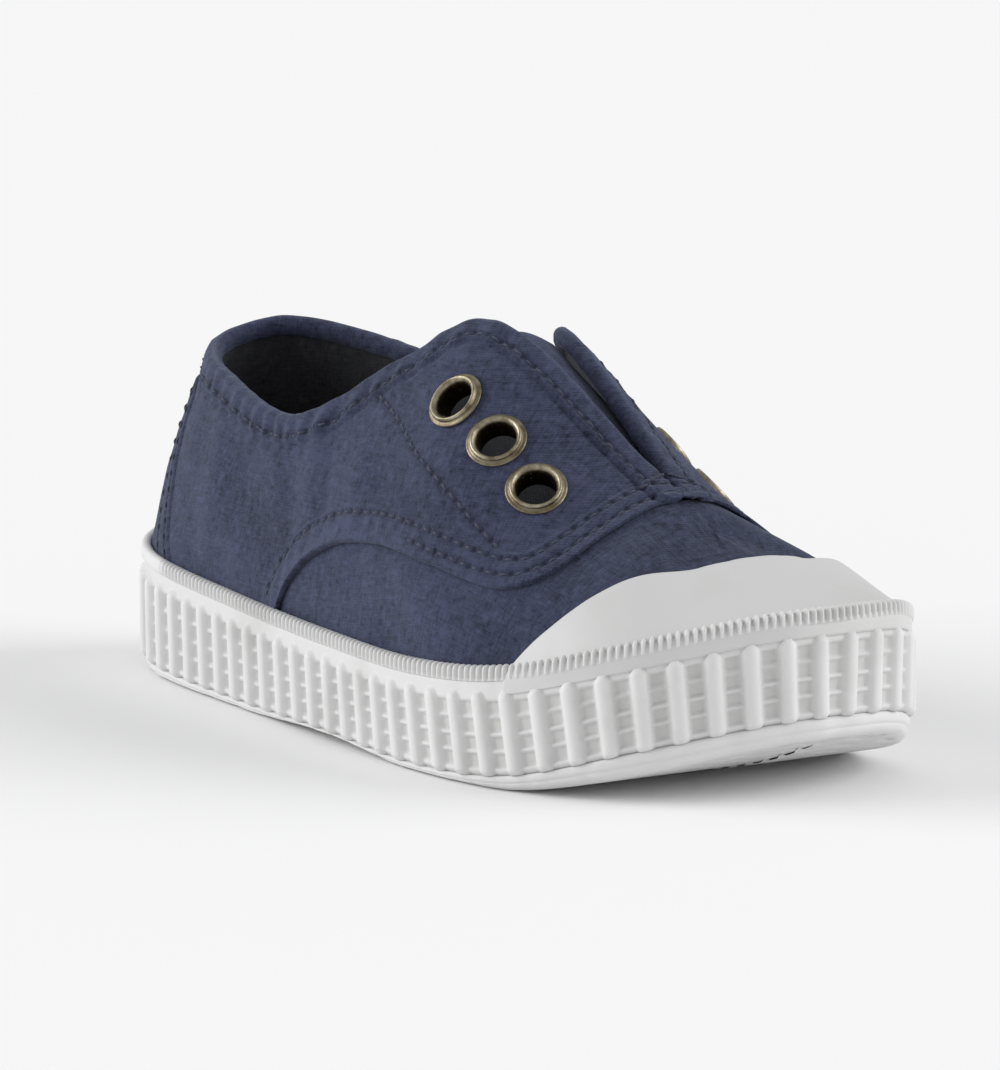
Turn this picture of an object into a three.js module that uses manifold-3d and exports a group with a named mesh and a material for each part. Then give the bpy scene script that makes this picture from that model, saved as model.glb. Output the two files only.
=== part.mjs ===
// A child's low canvas slip-on sneaker for the right foot, with a ribbed rubber sidewall.
// Millimetres. +X points to the toe, +Y to the wearer's left (the medial side), +Z up.
// The origin is the middle of the shoe on the floor.
//
// Most pieces come from one idea: rows numbered from the heel (0) round the lateral side to the
// toe (LAST_ROW), and back along the medial side. A place on the shoe is a row number, which need
// not be whole, and a height v from 0 at the sole to 1 at the top line.
import * as THREE from 'three';
import { mergeVertices } from 'three/addons/utils/BufferGeometryUtils.js';
import Module from 'manifold-3d';

const wasm = await Module();
wasm.setup();

// Driving sizes
const LENGTH = 166;
const BALL_WIDTH = 68;
const INSTEP_HEIGHT = 66;
const GAP = 0.3; // between pieces that touch

// Wall and band sizes
const WALL = 1.8; // canvas and lining together
const BAND_THICK = 2; // rubber sidewall with its ribs
const RIB_PROUD = 0.9;
const RIB_COUNT = 72;
const RIB_CREST = 0.4; // of the pitch
const RIB_SLOPE = 0.12; // of the pitch, each side
const RIB_ROUND = 1; // how far a rib's end slopes
const BEAD_TALL = 2.4; // plain strip and bead over the ribs
const BEAD_INSET = 0.7;
const SUNK = 2; // how far the canvas goes down behind the band before it is upright
const CAP_THICK = 1.3; // rubber toe cap
const CAP_LINE = 0.375; // of the length, where the cap ends on the ridge, from the middle
const CAP_SWEEP = 14; // how much further back its edge lies at the reach below
const CAP_REACH = 35; // from the ridge to each side
const CAP_EDGE_STEPS = 24; // straight pieces that its cubic edge is drawn with
const SOLE_INNER_RISE = 5.5; // top of the outsole above the ribs' lower edge
const MARGIN_INSET = 1.3; // the outsole's edge under the ribs
const TREAD_INSET = 3.2; // the tread's edge
const INSOLE_THICK = 3;
const EYELET_RADIUS = 4.6;
const EYELET_HOLE = 3.1;
const EYELET_BARREL = 3.5;
const EYELET_SIDES = 12;
const EYELET_LIP = 0.75; // height of the flange's outer edge above the canvas
const EYELET_CREST = 1.25; // its highest ring, in from the edge by the bevel
const EYELET_BEVEL = 0.4;
const EYELET_CLINCH = 1.1; // how far the inner end comes through the canvas
const DRILL_REACH = 9; // cutter for an eyelet's hole, well through the canvas
const EYELET_DROP = 0.03; // how much lower, as a height, the medial ones sit
const TONGUE_START = 4.75; // row of its upper end, under the facings' peaks
const TONGUE_END = 6.2;
const TONGUE_REACH = 0.84; // how far down the facings it goes, as a height
const TONGUE_LAP = 0.99; // its height where it leaves a facing's underside
const TONGUE_CROWN = 0.12; // rise of its middle, of the throat's width
const TONGUE_THICK = 1.5;
const GROOVE_WIDE = 2.4; // lugs of the tread lie between these
const GROOVE_DEEP = 1.1;

// Turns rows of numbers into objects with the named columns.
const table = (columns, rows) => {
  const names = columns.split(' ');
  return rows.map((row) => Object.fromEntries(names.map((name, i) => [name, row[i]])));
};

// The sole at each row. x is a fraction of the length from the heel, lateral and medial are
// fractions of the ball width, the others are heights: the tread, the lower edge of the ribs and
// the top of the rubber band.
const SOLE = table('x lateral medial tread ribs band', [
  [0.0, 0.0, 0.0, 3.4, 4.6, 21.6],
  [0.034, -0.2, 0.2, 2.2, 4.0, 21.2],
  [0.128, -0.345, 0.338, -0.3, 2.2, 20.0],
  [0.315, -0.41, 0.37, -0.3, 1.6, 18.4],
  [0.51, -0.462, 0.405, 1.1, 1.8, 17.4],
  [0.68, -0.5, 0.478, -0.3, 1.4, 17.4],
  [0.808, -0.462, 0.5, 0.1, 2.6, 19.2],
  [0.918, -0.32, 0.44, 3.8, 7.6, 24.2],
  [0.981, -0.09, 0.3, 7.6, 11.4, 28.0],
  [1.0, 0.08, 0.08, 8.6, 12.4, 28.8],
]);
const LAST_ROW = SOLE.length - 1;
const ROWS = 2 * LAST_ROW;

// The top line at each row: the collar to row 4, the peak of the facing, the throat's edge down
// to THROAT_END, then the ridge of the vamp. x, lateral and medial are fractions as above, the
// heights are fractions of the instep height. turn is how far the wall has bent over where it
// ends, in degrees. full and fullMedial are how round it is on each side, from 0 for a flat side
// to 1 for an arc.
const TOP = table('x lateral medial zLateral zMedial turn full fullMedial', [
  [0.066, 0.0, 0.0, 0.815, 0.815, 20, 0.3, 0.3],
  [0.092, -0.1, 0.13, 0.785, 0.84, 22, 0.3, 0.3],
  [0.19, -0.22, 0.25, 0.76, 0.8, 30, 0.4, 0.4],
  [0.365, -0.295, 0.31, 0.71, 0.725, 35, 0.6, 0.6],
  [0.495, -0.2, 0.22, 0.875, 0.85, 45, 0.75, 0.6],
  [0.585, -0.09, 0.075, 0.972, 0.935, 55, 0.7, 0.35],
  [0.745, 0.03, 0.055, 0.69, 0.69, 62, 0.7, 0.4],
  [0.8, 0.055, 0.055, 0.605, 0.605, 68, 0.75, 0.6],
  [0.83, 0.06, 0.06, 0.55, 0.55, 88, 0.88, 0.88],
  [0.83, 0.06, 0.06, 0.55, 0.55, 88, 0.95, 0.95],
]);
const THROAT_END = 6.3; // row where the two edges of the throat meet
const FAN_START = 6.5; // row where the wall starts to fan round the toe
const FOCUS_ROW = 8; // from here on the wall ends in one point on the ridge
const RIDGE_SLOPE = 0.45; // fall of the vamp's ridge per mm towards the toe

// Three eyelets on each facing, at a row and a height.
const EYELETS = table('row v', [
  [4.87, 0.725],
  [5.27, 0.675],
  [5.61, 0.645],
]);

// Grooves between the main lugs: x and length are fractions of the length and the ball width.
const GROOVES = table('x length', [
  [0.17, 0.44],
  [0.225, 0.48],
  [0.28, 0.5],
  [0.62, 0.6],
  [0.675, 0.62],
  [0.73, 0.62],
  [0.785, 0.6],
]);

// Catmull-Rom value at a row number, round the closed list.
const along = (values, row) => {
  const n = values.length;
  const i = Math.floor(row);
  const f = row - i;
  const [a, b, c, d] = [-1, 0, 1, 2].map((k) => values[(((i + k) % n) + n) % n]);
  const slope = (c - a) * f + (2 * a - 5 * b + 4 * c - d) * f ** 2;
  return b + (slope + (3 * b - a - 3 * c + d) * f ** 3) / 2;
};

// A column all the way round: the lateral rows, then the medial ones back to the heel.
const around = (rows, lateral, medial = lateral) => [
  ...rows.map((row) => row[lateral]),
  ...rows.slice(1, -1).reverse().map((row) => row[medial]),
];
const scaled = (values, size, shift = 0) => values.map((value) => value * size + shift);

const soleX = scaled(around(SOLE, 'x'), LENGTH, -LENGTH / 2);
const soleY = scaled(around(SOLE, 'lateral', 'medial'), BALL_WIDTH);
const treadZ = around(SOLE, 'tread');
const ribsZ = around(SOLE, 'ribs');
const bandZ = around(SOLE, 'band');
const topX = scaled(around(TOP, 'x'), LENGTH, -LENGTH / 2);
const topY = scaled(around(TOP, 'lateral', 'medial'), BALL_WIDTH);
const topZ = scaled(around(TOP, 'zLateral', 'zMedial'), INSTEP_HEIGHT);
const topTurn = around(TOP, 'turn');
const topFull = around(TOP, 'full', 'fullMedial');

const tread = (row) => Math.max(0, along(treadZ, row));

// A point of the sole's outline, moved inwards.
const outline = (row, inset = 0) => {
  const step = 0.02;
  const dx = along(soleX, row + step) - along(soleX, row - step);
  const dy = along(soleY, row + step) - along(soleY, row - step);
  const size = Math.hypot(dx, dy);
  return [along(soleX, row) - (inset * dy) / size, along(soleY, row) + (inset * dx) / size];
};

// The nearer end of the shoe's numbering: 0 at the heel to LAST_ROW at the toe, for both sides.
const sideRow = (row) => Math.min(row, ROWS - row);
const topRow = (row) => (sideRow(row) > FOCUS_ROW ? FOCUS_ROW : row);

// The upper's outer surface at a row and height. It starts just under the band's top edge, bends
// inwards by the row's turn, and ends on the top line.
const skin = (row, v) => {
  const [x0, y0] = outline(row, BAND_THICK + GAP);
  const z0 = along(bandZ, row) - SUNK;
  const [x1, y1, z1] = [topX, topY, topZ].map((values) => along(values, topRow(row)));
  const turn = THREE.MathUtils.degToRad(along(topTurn, row));
  const full = along(topFull, row);
  const inwards = (1 - full) * v + (full * (1 - Math.cos(turn * v))) / (1 - Math.cos(turn));
  const upwards = (1 - full) * v + (full * Math.sin(turn * v)) / Math.sin(turn);
  const x = x0 + (x1 - x0) * inwards;
  const y = y0 + (y1 - y0) * inwards;
  const fan = THREE.MathUtils.smoothstep(sideRow(row), FAN_START, FAN_START + 1);
  const z = z0 + (z1 - fan * RIDGE_SLOPE * (x - x1) - z0) * upwards;
  return new THREE.Vector3(x, y, z);
};

// The outward direction at a place on the skin.
const outwards = (row, v) => {
  const step = 0.02;
  const [low, high] = [Math.max(v - step, 0), Math.min(v + step, 1)];
  const middle = (low + high) / 2;
  const rowWise = skin(row + step, middle).sub(skin(row - step, middle));
  return rowWise.cross(skin(row, high).sub(skin(row, low))).normalize();
};
const offsetSkin = (row, v, offset) => skin(row, v).addScaledVector(outwards(row, v), offset);

// A closed body from rings of points, each ring running anticlockwise as seen from the last ring.
// The rings are joined in turn. With loop the last one joins the first; otherwise strips between
// the two halves of a ring close each end. skip(k, i) leaves out one face between rings k and k + 1.
const body = (rings, { loop = false, strips = 4, skip = () => false } = {}) => {
  const n = rings[0].length;
  const points = rings.flat();
  const triangles = [];
  const quad = (a, b, c, d) => triangles.push([a, b, c], [a, c, d]);
  for (let k = 0; k < (loop ? rings.length : rings.length - 1); k++) {
    const [low, high] = [k * n, ((k + 1) % rings.length) * n];
    for (let i = 0; i < n; i++) {
      const j = (i + 1) % n;
      if (!skip(k, i)) quad(low + i, low + j, high + j, high + i);
    }
  }
  const lid = (start, facesAlong) => {
    const half = n / 2;
    const node = (i, k) => {
      if (k === 0 || i === 0 || i === half) return start + i;
      if (k === strips) return start + n - i;
      const [a, b] = [points[start + i], points[start + n - i]];
      return points.push(a.map((value, c) => value + ((b[c] - value) * k) / strips)) - 1;
    };
    let before = null;
    for (let i = 0; i <= half; i++) {
      const line = Array.from({ length: strips + 1 }, (_, k) => node(i, k));
      for (let k = 0; before && k < strips; k++) {
        const corners = [before[k], line[k], line[k + 1], before[k + 1]];
        quad(...(facesAlong ? corners : corners.reverse()));
      }
      before = line;
    }
  };
  if (!loop) {
    lid(0, false);
    lid((rings.length - 1) * n, true);
  }
  return solid(points, triangles);
};

// Points and triangles to a manifold solid. Triangles that have shrunk to a line are dropped.
const solid = (points, triangles) => {
  const geometry = new THREE.BufferGeometry();
  geometry.setAttribute('position', new THREE.Float32BufferAttribute(points.flat(), 3));
  geometry.setIndex(triangles.flat());
  return toManifold(geometry);
};
const toManifold = (geometry) => {
  const bare = geometry.clone();
  bare.deleteAttribute('normal');
  bare.deleteAttribute('uv');
  const merged = mergeVertices(bare, 1e-3);
  const corners = Array.from(merged.index.array);
  const kept = [];
  for (let i = 0; i < corners.length; i += 3) {
    const [a, b, c] = corners.slice(i, i + 3);
    if (a !== b && b !== c && c !== a) kept.push(a, b, c);
  }
  const vertProperties = new Float32Array(merged.attributes.position.array);
  return new wasm.Manifold(
    new wasm.Mesh({ numProp: 3, vertProperties, triVerts: new Uint32Array(kept) }),
  );
};
const toMesh = (name, manifold, material) => {
  const { vertProperties, triVerts } = manifold.getMesh();
  const geometry = new THREE.BufferGeometry();
  geometry.setAttribute('position', new THREE.BufferAttribute(vertProperties, 3));
  geometry.setIndex(new THREE.BufferAttribute(triVerts, 1));
  geometry.computeVertexNormals();
  const mesh = new THREE.Mesh(geometry, material);
  mesh.name = name;
  return mesh;
};

const ringOf = (count, point) => Array.from({ length: count }, (_, i) => point((i * ROWS) / count));
const level = (row, inset, z) => [...outline(row, inset), z];

// --- Materials
const rubber = new THREE.MeshStandardMaterial({ color: 0xe4e4e4, roughness: 0.6, metalness: 0 });
const canvas = new THREE.MeshStandardMaterial({ color: 0x3b4059, roughness: 0.95, metalness: 0 });
const lining = new THREE.MeshStandardMaterial({ color: 0x26272b, roughness: 0.95, metalness: 0 });
const brass = new THREE.MeshStandardMaterial({ color: 0x9a8f6c, roughness: 0.45, metalness: 0.9 });

// --- Outsole: tread, a margin under the ribs and a slab inside the band
const SOLE_STEPS = 60;
const slabTop = (row) => along(ribsZ, row) + SOLE_INNER_RISE;
const marginTop = (row) => along(ribsZ, row) - GAP;
const makeOutsole = () => {
  const inner = BAND_THICK + GAP;
  const block = body([
    ringOf(SOLE_STEPS, (row) => level(row, TREAD_INSET, tread(row))),
    ringOf(SOLE_STEPS, (row) => level(row, MARGIN_INSET, marginTop(row))),
    ringOf(SOLE_STEPS, (row) => level(row, inner, marginTop(row))),
    ringOf(SOLE_STEPS, (row) => level(row, inner, slabTop(row))),
  ]);
  return GROOVES.reduce((left, groove) => {
    const box = new THREE.BoxGeometry(GROOVE_WIDE, groove.length * BALL_WIDTH, 2 * GROOVE_DEEP);
    box.translate((groove.x - 0.5) * LENGTH, 0, 0);
    return left.subtract(toManifold(box));
  }, block);
};

// --- Band: the rubber sidewall with its upright ribs
const makeBand = () => {
  // Rows where each rib starts and ends, evenly spaced by length round the outline.
  const fine = 2400;
  const lengths = [0];
  for (let i = 1; i <= fine; i++) {
    const [a, b] = [outline(((i - 1) * ROWS) / fine), outline((i * ROWS) / fine)];
    lengths.push(lengths[i - 1] + Math.hypot(b[0] - a[0], b[1] - a[1]));
  }
  const rowAt = (share) => {
    const wanted = share * lengths[fine];
    const i = Math.max(1, lengths.findIndex((length) => length >= wanted));
    const f = (wanted - lengths[i - 1]) / (lengths[i] - lengths[i - 1]);
    return ((i - 1 + f) * ROWS) / fine;
  };
  const stops = [
    [0, 0],
    [RIB_CREST, 0],
    [RIB_CREST + RIB_SLOPE, RIB_PROUD],
    [1 - RIB_SLOPE, RIB_PROUD],
  ];
  const places = [];
  for (let rib = 0; rib < RIB_COUNT; rib++) {
    for (const [share, depth] of stops) places.push([rowAt((rib + share) / RIB_COUNT), depth]);
  }
  const ring = (inset, z) => places.map(([row, depth]) => level(row, inset(depth), z(row)));
  const foot = (row) => along(ribsZ, row);
  const edge = (row) => along(bandZ, row);
  return body(
    [
      ring((depth) => depth, foot),
      ring((depth) => depth, (row) => edge(row) - BEAD_TALL - RIB_ROUND),
      ring(() => RIB_PROUD, (row) => edge(row) - BEAD_TALL),
      ring(() => BEAD_INSET, edge),
      ring(() => BAND_THICK, edge),
      ring(() => BAND_THICK, foot),
    ],
    { loop: true },
  );
};

// --- Upper: canvas and lining as one wall, open at the collar, the throat and underneath
const UPPER_STEPS = 80;
const UPPER_RINGS = 8;
const upperRows = Array.from({ length: UPPER_STEPS }, (_, i) => (i * ROWS) / UPPER_STEPS);
const isRidge = (row) => sideRow(row) >= THROAT_END;

// The point where the wall ends at the top. Both sides of the ridge share theirs.
const topPoint = (row, offset) => {
  if (!isRidge(row)) return offsetSkin(row, 1, offset).toArray();
  const near = topRow(sideRow(row));
  const middle = offsetSkin(near, 1, offset).add(offsetSkin(ROWS - near, 1, offset));
  return middle.divideScalar(2).toArray();
};
const upperRings = (offset) => [
  upperRows.map((row) => level(row, BAND_THICK + GAP - offset, slabTop(row) + GAP)),
  ...Array.from({ length: UPPER_RINGS }, (_, k) =>
    upperRows.map((row) => offsetSkin(row, k / UPPER_RINGS, offset).toArray()),
  ),
  upperRows.map((row) => topPoint(row, offset)),
];

// A round cutter or ring placed at an eyelet, its axis along the outward direction.
const placeAt = (geometry, row, v) => {
  const turn = new THREE.Quaternion();
  turn.setFromUnitVectors(new THREE.Vector3(0, 1, 0), outwards(row, v));
  geometry.applyQuaternion(turn);
  geometry.translate(...skin(row, v).toArray());
  return geometry;
};
const eyeletPlaces = EYELETS.flatMap(({ row, v }, i) => [
  { name: `eyelet_lateral_${i + 1}`, row, v },
  { name: `eyelet_medial_${i + 1}`, row: ROWS - row, v: v - EYELET_DROP },
]);

const makeUpper = () => {
  const outside = upperRings(0);
  const edge = outside.length - 1;
  const bothOnRidge = (i) => isRidge(upperRows[i]) && isRidge(upperRows[(i + 1) % UPPER_STEPS]);
  const shell = body([...outside, ...upperRings(-WALL).reverse()], {
    loop: true,
    skip: (k, i) => k === edge && bothOnRidge(i),
  });
  return eyeletPlaces.reduce((left, { row, v }) => {
    const radius = EYELET_BARREL + GAP;
    const drill = new THREE.CylinderGeometry(radius, radius, DRILL_REACH, EYELET_SIDES);
    return left.subtract(toManifold(placeAt(drill, row, v)));
  }, shell);
};

// --- Toe cap: cut between two larger forms of the upper, ahead of a curved line, over the band
const makeToeCap = () => {
  const outer = body(upperRings(GAP + CAP_THICK));
  const inner = body(upperRings(GAP));
  const plan = new THREE.Shape();
  const ridgeY = along(topY, FOCUS_ROW);
  plan.moveTo(LENGTH, -BALL_WIDTH);
  plan.lineTo(LENGTH, BALL_WIDTH);
  for (let i = 0; i <= CAP_EDGE_STEPS; i += 1) {
    const off = CAP_REACH * (1 - (2 * i) / CAP_EDGE_STEPS);
    const back = CAP_SWEEP * Math.abs(off / CAP_REACH) ** 3;
    plan.lineTo(CAP_LINE * LENGTH - back, ridgeY + off);
  }
  const ahead = new THREE.ExtrudeGeometry(plan, { depth: INSTEP_HEIGHT, bevelEnabled: false });
  const below = body([
    ringOf(2 * SOLE_STEPS, (row) => level(row, -BAND_THICK, -GAP)),
    ringOf(2 * SOLE_STEPS, (row) => level(row, -BAND_THICK, along(bandZ, row) + GAP)),
    ringOf(2 * SOLE_STEPS, (row) => level(row, BAND_THICK, along(bandZ, row) + GAP)),
  ]);
  return outer.subtract(inner).intersect(toManifold(ahead)).subtract(below);
};

// --- Insole: the footbed inside the upper
const makeInsole = () => {
  const inset = BAND_THICK + GAP + WALL + GAP;
  const base = (row) => slabTop(row) + GAP;
  return body([
    ringOf(SOLE_STEPS, (row) => level(row, inset, base(row))),
    ringOf(SOLE_STEPS, (row) => level(row, inset, base(row) + INSOLE_THICK)),
  ]);
};

// --- Tongue: a strip under both facings that bridges the throat
const makeTongue = () => {
  const stations = 14;
  const under = [TONGUE_REACH, (TONGUE_LAP + TONGUE_REACH) / 2, TONGUE_LAP];
  const section = (row) => {
    const side = (r, depth) => under.map((v) => offsetSkin(r, v, -WALL - GAP - depth));
    const layer = (depth) => {
      const [lateral, medial] = [side(row, depth), side(ROWS - row, depth).reverse()];
      const middle = lateral[2].clone().add(medial[0]).divideScalar(2);
      middle.z += TONGUE_CROWN * lateral[2].distanceTo(medial[0]);
      return [...lateral, middle, ...medial];
    };
    // From the medial edge over the top, and back underneath.
    const [over, underneath] = [layer(0).reverse(), layer(TONGUE_THICK)];
    return [...over, ...underneath].map((point) => point.toArray());
  };
  const rings = Array.from({ length: stations + 1 }, (_, i) =>
    section(TONGUE_START + ((TONGUE_END - TONGUE_START) * i) / stations),
  );
  return body(rings, { strips: 1 });
};

// --- Eyelets: a barrel with a rounded flange outside and a small one inside
const eyeletProfile = table('radius height', [
  [EYELET_BARREL, GAP],
  [EYELET_RADIUS, GAP],
  [EYELET_RADIUS, EYELET_LIP],
  [EYELET_RADIUS - EYELET_BEVEL, EYELET_CREST],
  [EYELET_HOLE + EYELET_BEVEL, EYELET_CREST],
  [EYELET_HOLE, EYELET_LIP],
  [EYELET_HOLE, -WALL - EYELET_CLINCH],
  [EYELET_BARREL + EYELET_BEVEL, -WALL - EYELET_CLINCH],
  [EYELET_BARREL, -WALL - GAP],
  [EYELET_BARREL, GAP],
]);
const makeEyelet = ({ row, v }) => {
  const profile = eyeletProfile.map(({ radius, height }) => new THREE.Vector2(radius, height));
  return toManifold(placeAt(new THREE.LatheGeometry(profile, EYELET_SIDES), row, v));
};

const shoe = new THREE.Group();
shoe.add(toMesh('outsole', makeOutsole(), rubber));
shoe.add(toMesh('band', makeBand(), rubber));
shoe.add(toMesh('toe_cap', makeToeCap(), rubber));
shoe.add(toMesh('upper', makeUpper(), canvas));
shoe.add(toMesh('tongue', makeTongue(), canvas));
shoe.add(toMesh('insole', makeInsole(), lining));
for (const place of eyeletPlaces) shoe.add(toMesh(place.name, makeEyelet(place), brass));

export default shoe;
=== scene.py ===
# %% [markdown]
# # A child's canvas slip-on sneaker
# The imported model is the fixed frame. It says where each part of the shoe is and how big it is.
# Everything here is worked out in millimetres from the shoe's own sizes, and is turned into
# metres only when a mesh is made.

import math

import bmesh
import bpy
import numpy as np
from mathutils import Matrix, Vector


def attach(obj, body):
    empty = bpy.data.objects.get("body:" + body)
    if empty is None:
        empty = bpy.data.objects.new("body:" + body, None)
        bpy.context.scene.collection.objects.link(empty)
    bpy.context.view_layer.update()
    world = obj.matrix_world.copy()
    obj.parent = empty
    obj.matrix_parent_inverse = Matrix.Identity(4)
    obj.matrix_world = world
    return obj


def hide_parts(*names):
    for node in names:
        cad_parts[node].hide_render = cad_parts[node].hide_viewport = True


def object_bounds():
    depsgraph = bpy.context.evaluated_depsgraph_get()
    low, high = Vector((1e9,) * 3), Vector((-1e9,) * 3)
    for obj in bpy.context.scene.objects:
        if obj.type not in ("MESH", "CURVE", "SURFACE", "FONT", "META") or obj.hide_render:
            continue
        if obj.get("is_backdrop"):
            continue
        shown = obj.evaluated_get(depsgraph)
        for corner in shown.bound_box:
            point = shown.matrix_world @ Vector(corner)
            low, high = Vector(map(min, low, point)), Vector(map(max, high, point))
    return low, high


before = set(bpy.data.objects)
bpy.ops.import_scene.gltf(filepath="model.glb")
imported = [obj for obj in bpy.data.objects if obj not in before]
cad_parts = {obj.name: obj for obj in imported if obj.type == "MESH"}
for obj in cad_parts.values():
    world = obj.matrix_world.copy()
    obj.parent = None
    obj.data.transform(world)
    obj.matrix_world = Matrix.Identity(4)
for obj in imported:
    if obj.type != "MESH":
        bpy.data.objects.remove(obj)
cad_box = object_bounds()
MM = 0.001
LENGTH = (cad_box[1].x - cad_box[0].x) / MM
print("length of the shoe in mm:", round(LENGTH, 1))

# %% [markdown]
# ## Rows and heights
# A shoemaker draws on the last: so far round from the heel, so far up from the sole. The same
# two numbers place everything here. A row runs from the heel (0) along the lateral side to the
# toe (9) and back along the medial side to the heel (18). A height v is 0 just under the band's
# top edge and 1 at the top line. Nurbs patches or a sculpted mesh could hold the form too, but a
# formula lets every seam and stitch find its own place on the same surface.

# %% The sizes that the whole shoe shares
BALL_WIDTH = 68
INSTEP_HEIGHT = 66
BAND_THICK = 2
GAP = 0.3
WALL = 1.8
SUNK = 2  # the canvas starts this far below the band's top edge
THROAT_END = 6.3
FOCUS_ROW = 8
FAN_START = 6.5
RIDGE_SLOPE = 0.45
BELOW = 30  # mm per unit of height, for what hides behind the band


def table(columns, rows):
    """A dictionary of columns, each an array with one value per row."""
    return dict(zip(columns.split(), np.array(rows, float).T))


SOLE = table("x lateral medial tread ribs band", [
    [0.000, 0.000, 0.000, 3.4, 4.6, 21.6],
    [0.034, -0.200, 0.200, 2.2, 4.0, 21.2],
    [0.128, -0.345, 0.338, -0.3, 2.2, 20.0],
    [0.315, -0.410, 0.370, -0.3, 1.6, 18.4],
    [0.510, -0.462, 0.405, 1.1, 1.8, 17.4],
    [0.680, -0.500, 0.478, -0.3, 1.4, 17.4],
    [0.808, -0.462, 0.500, 0.1, 2.6, 19.2],
    [0.918, -0.320, 0.440, 3.8, 7.6, 24.2],
    [0.981, -0.090, 0.300, 7.6, 11.4, 28.0],
    [1.000, 0.080, 0.080, 8.6, 12.4, 28.8],
])
TOP = table("x lateral medial z_lateral z_medial turn full full_medial", [
    [0.066, 0.000, 0.000, 0.815, 0.815, 20, 0.30, 0.30],
    [0.092, -0.100, 0.130, 0.785, 0.840, 22, 0.30, 0.30],
    [0.190, -0.220, 0.250, 0.760, 0.800, 30, 0.40, 0.40],
    [0.365, -0.295, 0.310, 0.710, 0.725, 35, 0.60, 0.60],
    [0.495, -0.200, 0.220, 0.875, 0.850, 45, 0.75, 0.60],
    [0.585, -0.090, 0.075, 0.972, 0.935, 55, 0.70, 0.35],
    [0.745, 0.030, 0.055, 0.690, 0.690, 62, 0.70, 0.40],
    [0.800, 0.055, 0.055, 0.605, 0.605, 68, 0.75, 0.60],
    [0.830, 0.060, 0.060, 0.550, 0.550, 88, 0.88, 0.88],
    [0.830, 0.060, 0.060, 0.550, 0.550, 88, 0.95, 0.95],
])
ROWS = 2 * (len(SOLE["x"]) - 1)


def around(columns, lateral, medial=None):
    """The lateral column, then the medial one backwards, without their shared ends."""
    return np.concatenate([columns[lateral], columns[medial or lateral][-2:0:-1]])


SOLE_X = around(SOLE, "x") * LENGTH - LENGTH / 2
SOLE_Y = around(SOLE, "lateral", "medial") * BALL_WIDTH
TREAD_Z, RIBS_Z, BAND_Z = (around(SOLE, name) for name in ("tread", "ribs", "band"))
TOP_X = around(TOP, "x") * LENGTH - LENGTH / 2
TOP_Y = around(TOP, "lateral", "medial") * BALL_WIDTH
TOP_Z = around(TOP, "z_lateral", "z_medial") * INSTEP_HEIGHT
TURN, FULL = np.radians(around(TOP, "turn")), around(TOP, "full", "full_medial")
print("values round the shoe:", ROWS)

# %% The surface of the last
def along(values, row):
    """Closed Catmull-Rom curve: it passes each value with half the step between its neighbours."""
    i = np.floor(row).astype(int)
    f = row - i
    a, b, c, d = (values[(i + k) % len(values)] for k in (-1, 0, 1, 2))
    slope = (c - a) * f + (2 * a - 5 * b + 4 * c - d) * f**2
    return b + (slope + (3 * b - a - 3 * c + d) * f**3) / 2


def side_row(row):
    """The row's number on its own side: 0 at the heel, 9 at the toe."""
    turned = np.mod(row, ROWS)
    return np.minimum(turned, ROWS - turned)


def smoothstep(x, low, high):
    """0 below low, 1 above high, and 3t^2 - 2t^3 between them."""
    t = np.clip((x - low) / (high - low), 0, 1)
    return t * t * (3 - 2 * t)


def bell(x, middle, width):
    """A soft bump of height 1: exp(-((x - middle) / width)^2)."""
    return np.exp(-((x - middle) / width) ** 2)


def outline(row, inset=0.0):
    """The sole's outline, moved inwards by inset at right angles to itself."""
    step = 0.02
    x, y = along(SOLE_X, row), along(SOLE_Y, row)
    dx = along(SOLE_X, row + step) - along(SOLE_X, row - step)
    dy = along(SOLE_Y, row + step) - along(SOLE_Y, row - step)
    size = np.hypot(dx, dy)
    return x - inset * dy / size, y + inset * dx / size


def middle_y(row, inset):
    """The y half-way between the outline at a row and at the same row of the other side."""
    return (outline(row, inset)[1] + outline(-row, inset)[1]) / 2


def plain_skin(row, v):
    """Canvas surface before its ridge is rounded. Each row's wall rises from the sole and bends
    over by its own turn to the top line; from the throat's end on, both sides meet."""
    row, v = np.broadcast_arrays(np.asarray(row, float), np.asarray(v, float))
    x0, y0 = outline(row, BAND_THICK + GAP)
    z0 = along(BAND_Z, row) - SUNK
    side = side_row(row)
    top_row = np.where(side > FOCUS_ROW, FOCUS_ROW, row)
    other = np.where(side > FOCUS_ROW, ROWS - FOCUS_ROW, -row)
    joined = smoothstep(side, THROAT_END - 0.35, THROAT_END) / 2
    x1, y1, z1 = (
        along(values, top_row) * (1 - joined) + along(values, other) * joined
        for values in (TOP_X, TOP_Y, TOP_Z)
    )
    turn, full = along(TURN, row), along(FULL, row)
    up = np.clip(v, 0, None)
    inwards = (1 - full) * up + full * (1 - np.cos(turn * up)) / (1 - np.cos(turn))
    upwards = (1 - full) * up + full * np.sin(turn * up) / np.sin(turn)
    x, y = x0 + (x1 - x0) * inwards, y0 + (y1 - y0) * inwards
    fan = smoothstep(side, FAN_START, FAN_START + 1)
    z = z0 + (z1 - fan * RIDGE_SLOPE * (x - x1) - z0) * upwards + np.minimum(v, 0) * BELOW
    return np.stack([x, y, z], -1)


ROUNDING = 8  # how far down from the ridge of the vamp the rounding starts


def ridge_side(row):
    """Where one side's rounding starts: its height, its point, and twice the way to the ridge."""
    step = 0.01
    size = np.linalg.norm(plain_skin(row, 1.0) - plain_skin(row, 0.6), axis=-1) / 0.4
    start = 1 - np.clip(ROUNDING / size, 0, 0.5)
    slope = (plain_skin(row, start + step) - plain_skin(row, start - step)) / (2 * step)
    return start, plain_skin(row, start), 2 * (1 - start)[..., None] * slope


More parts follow.
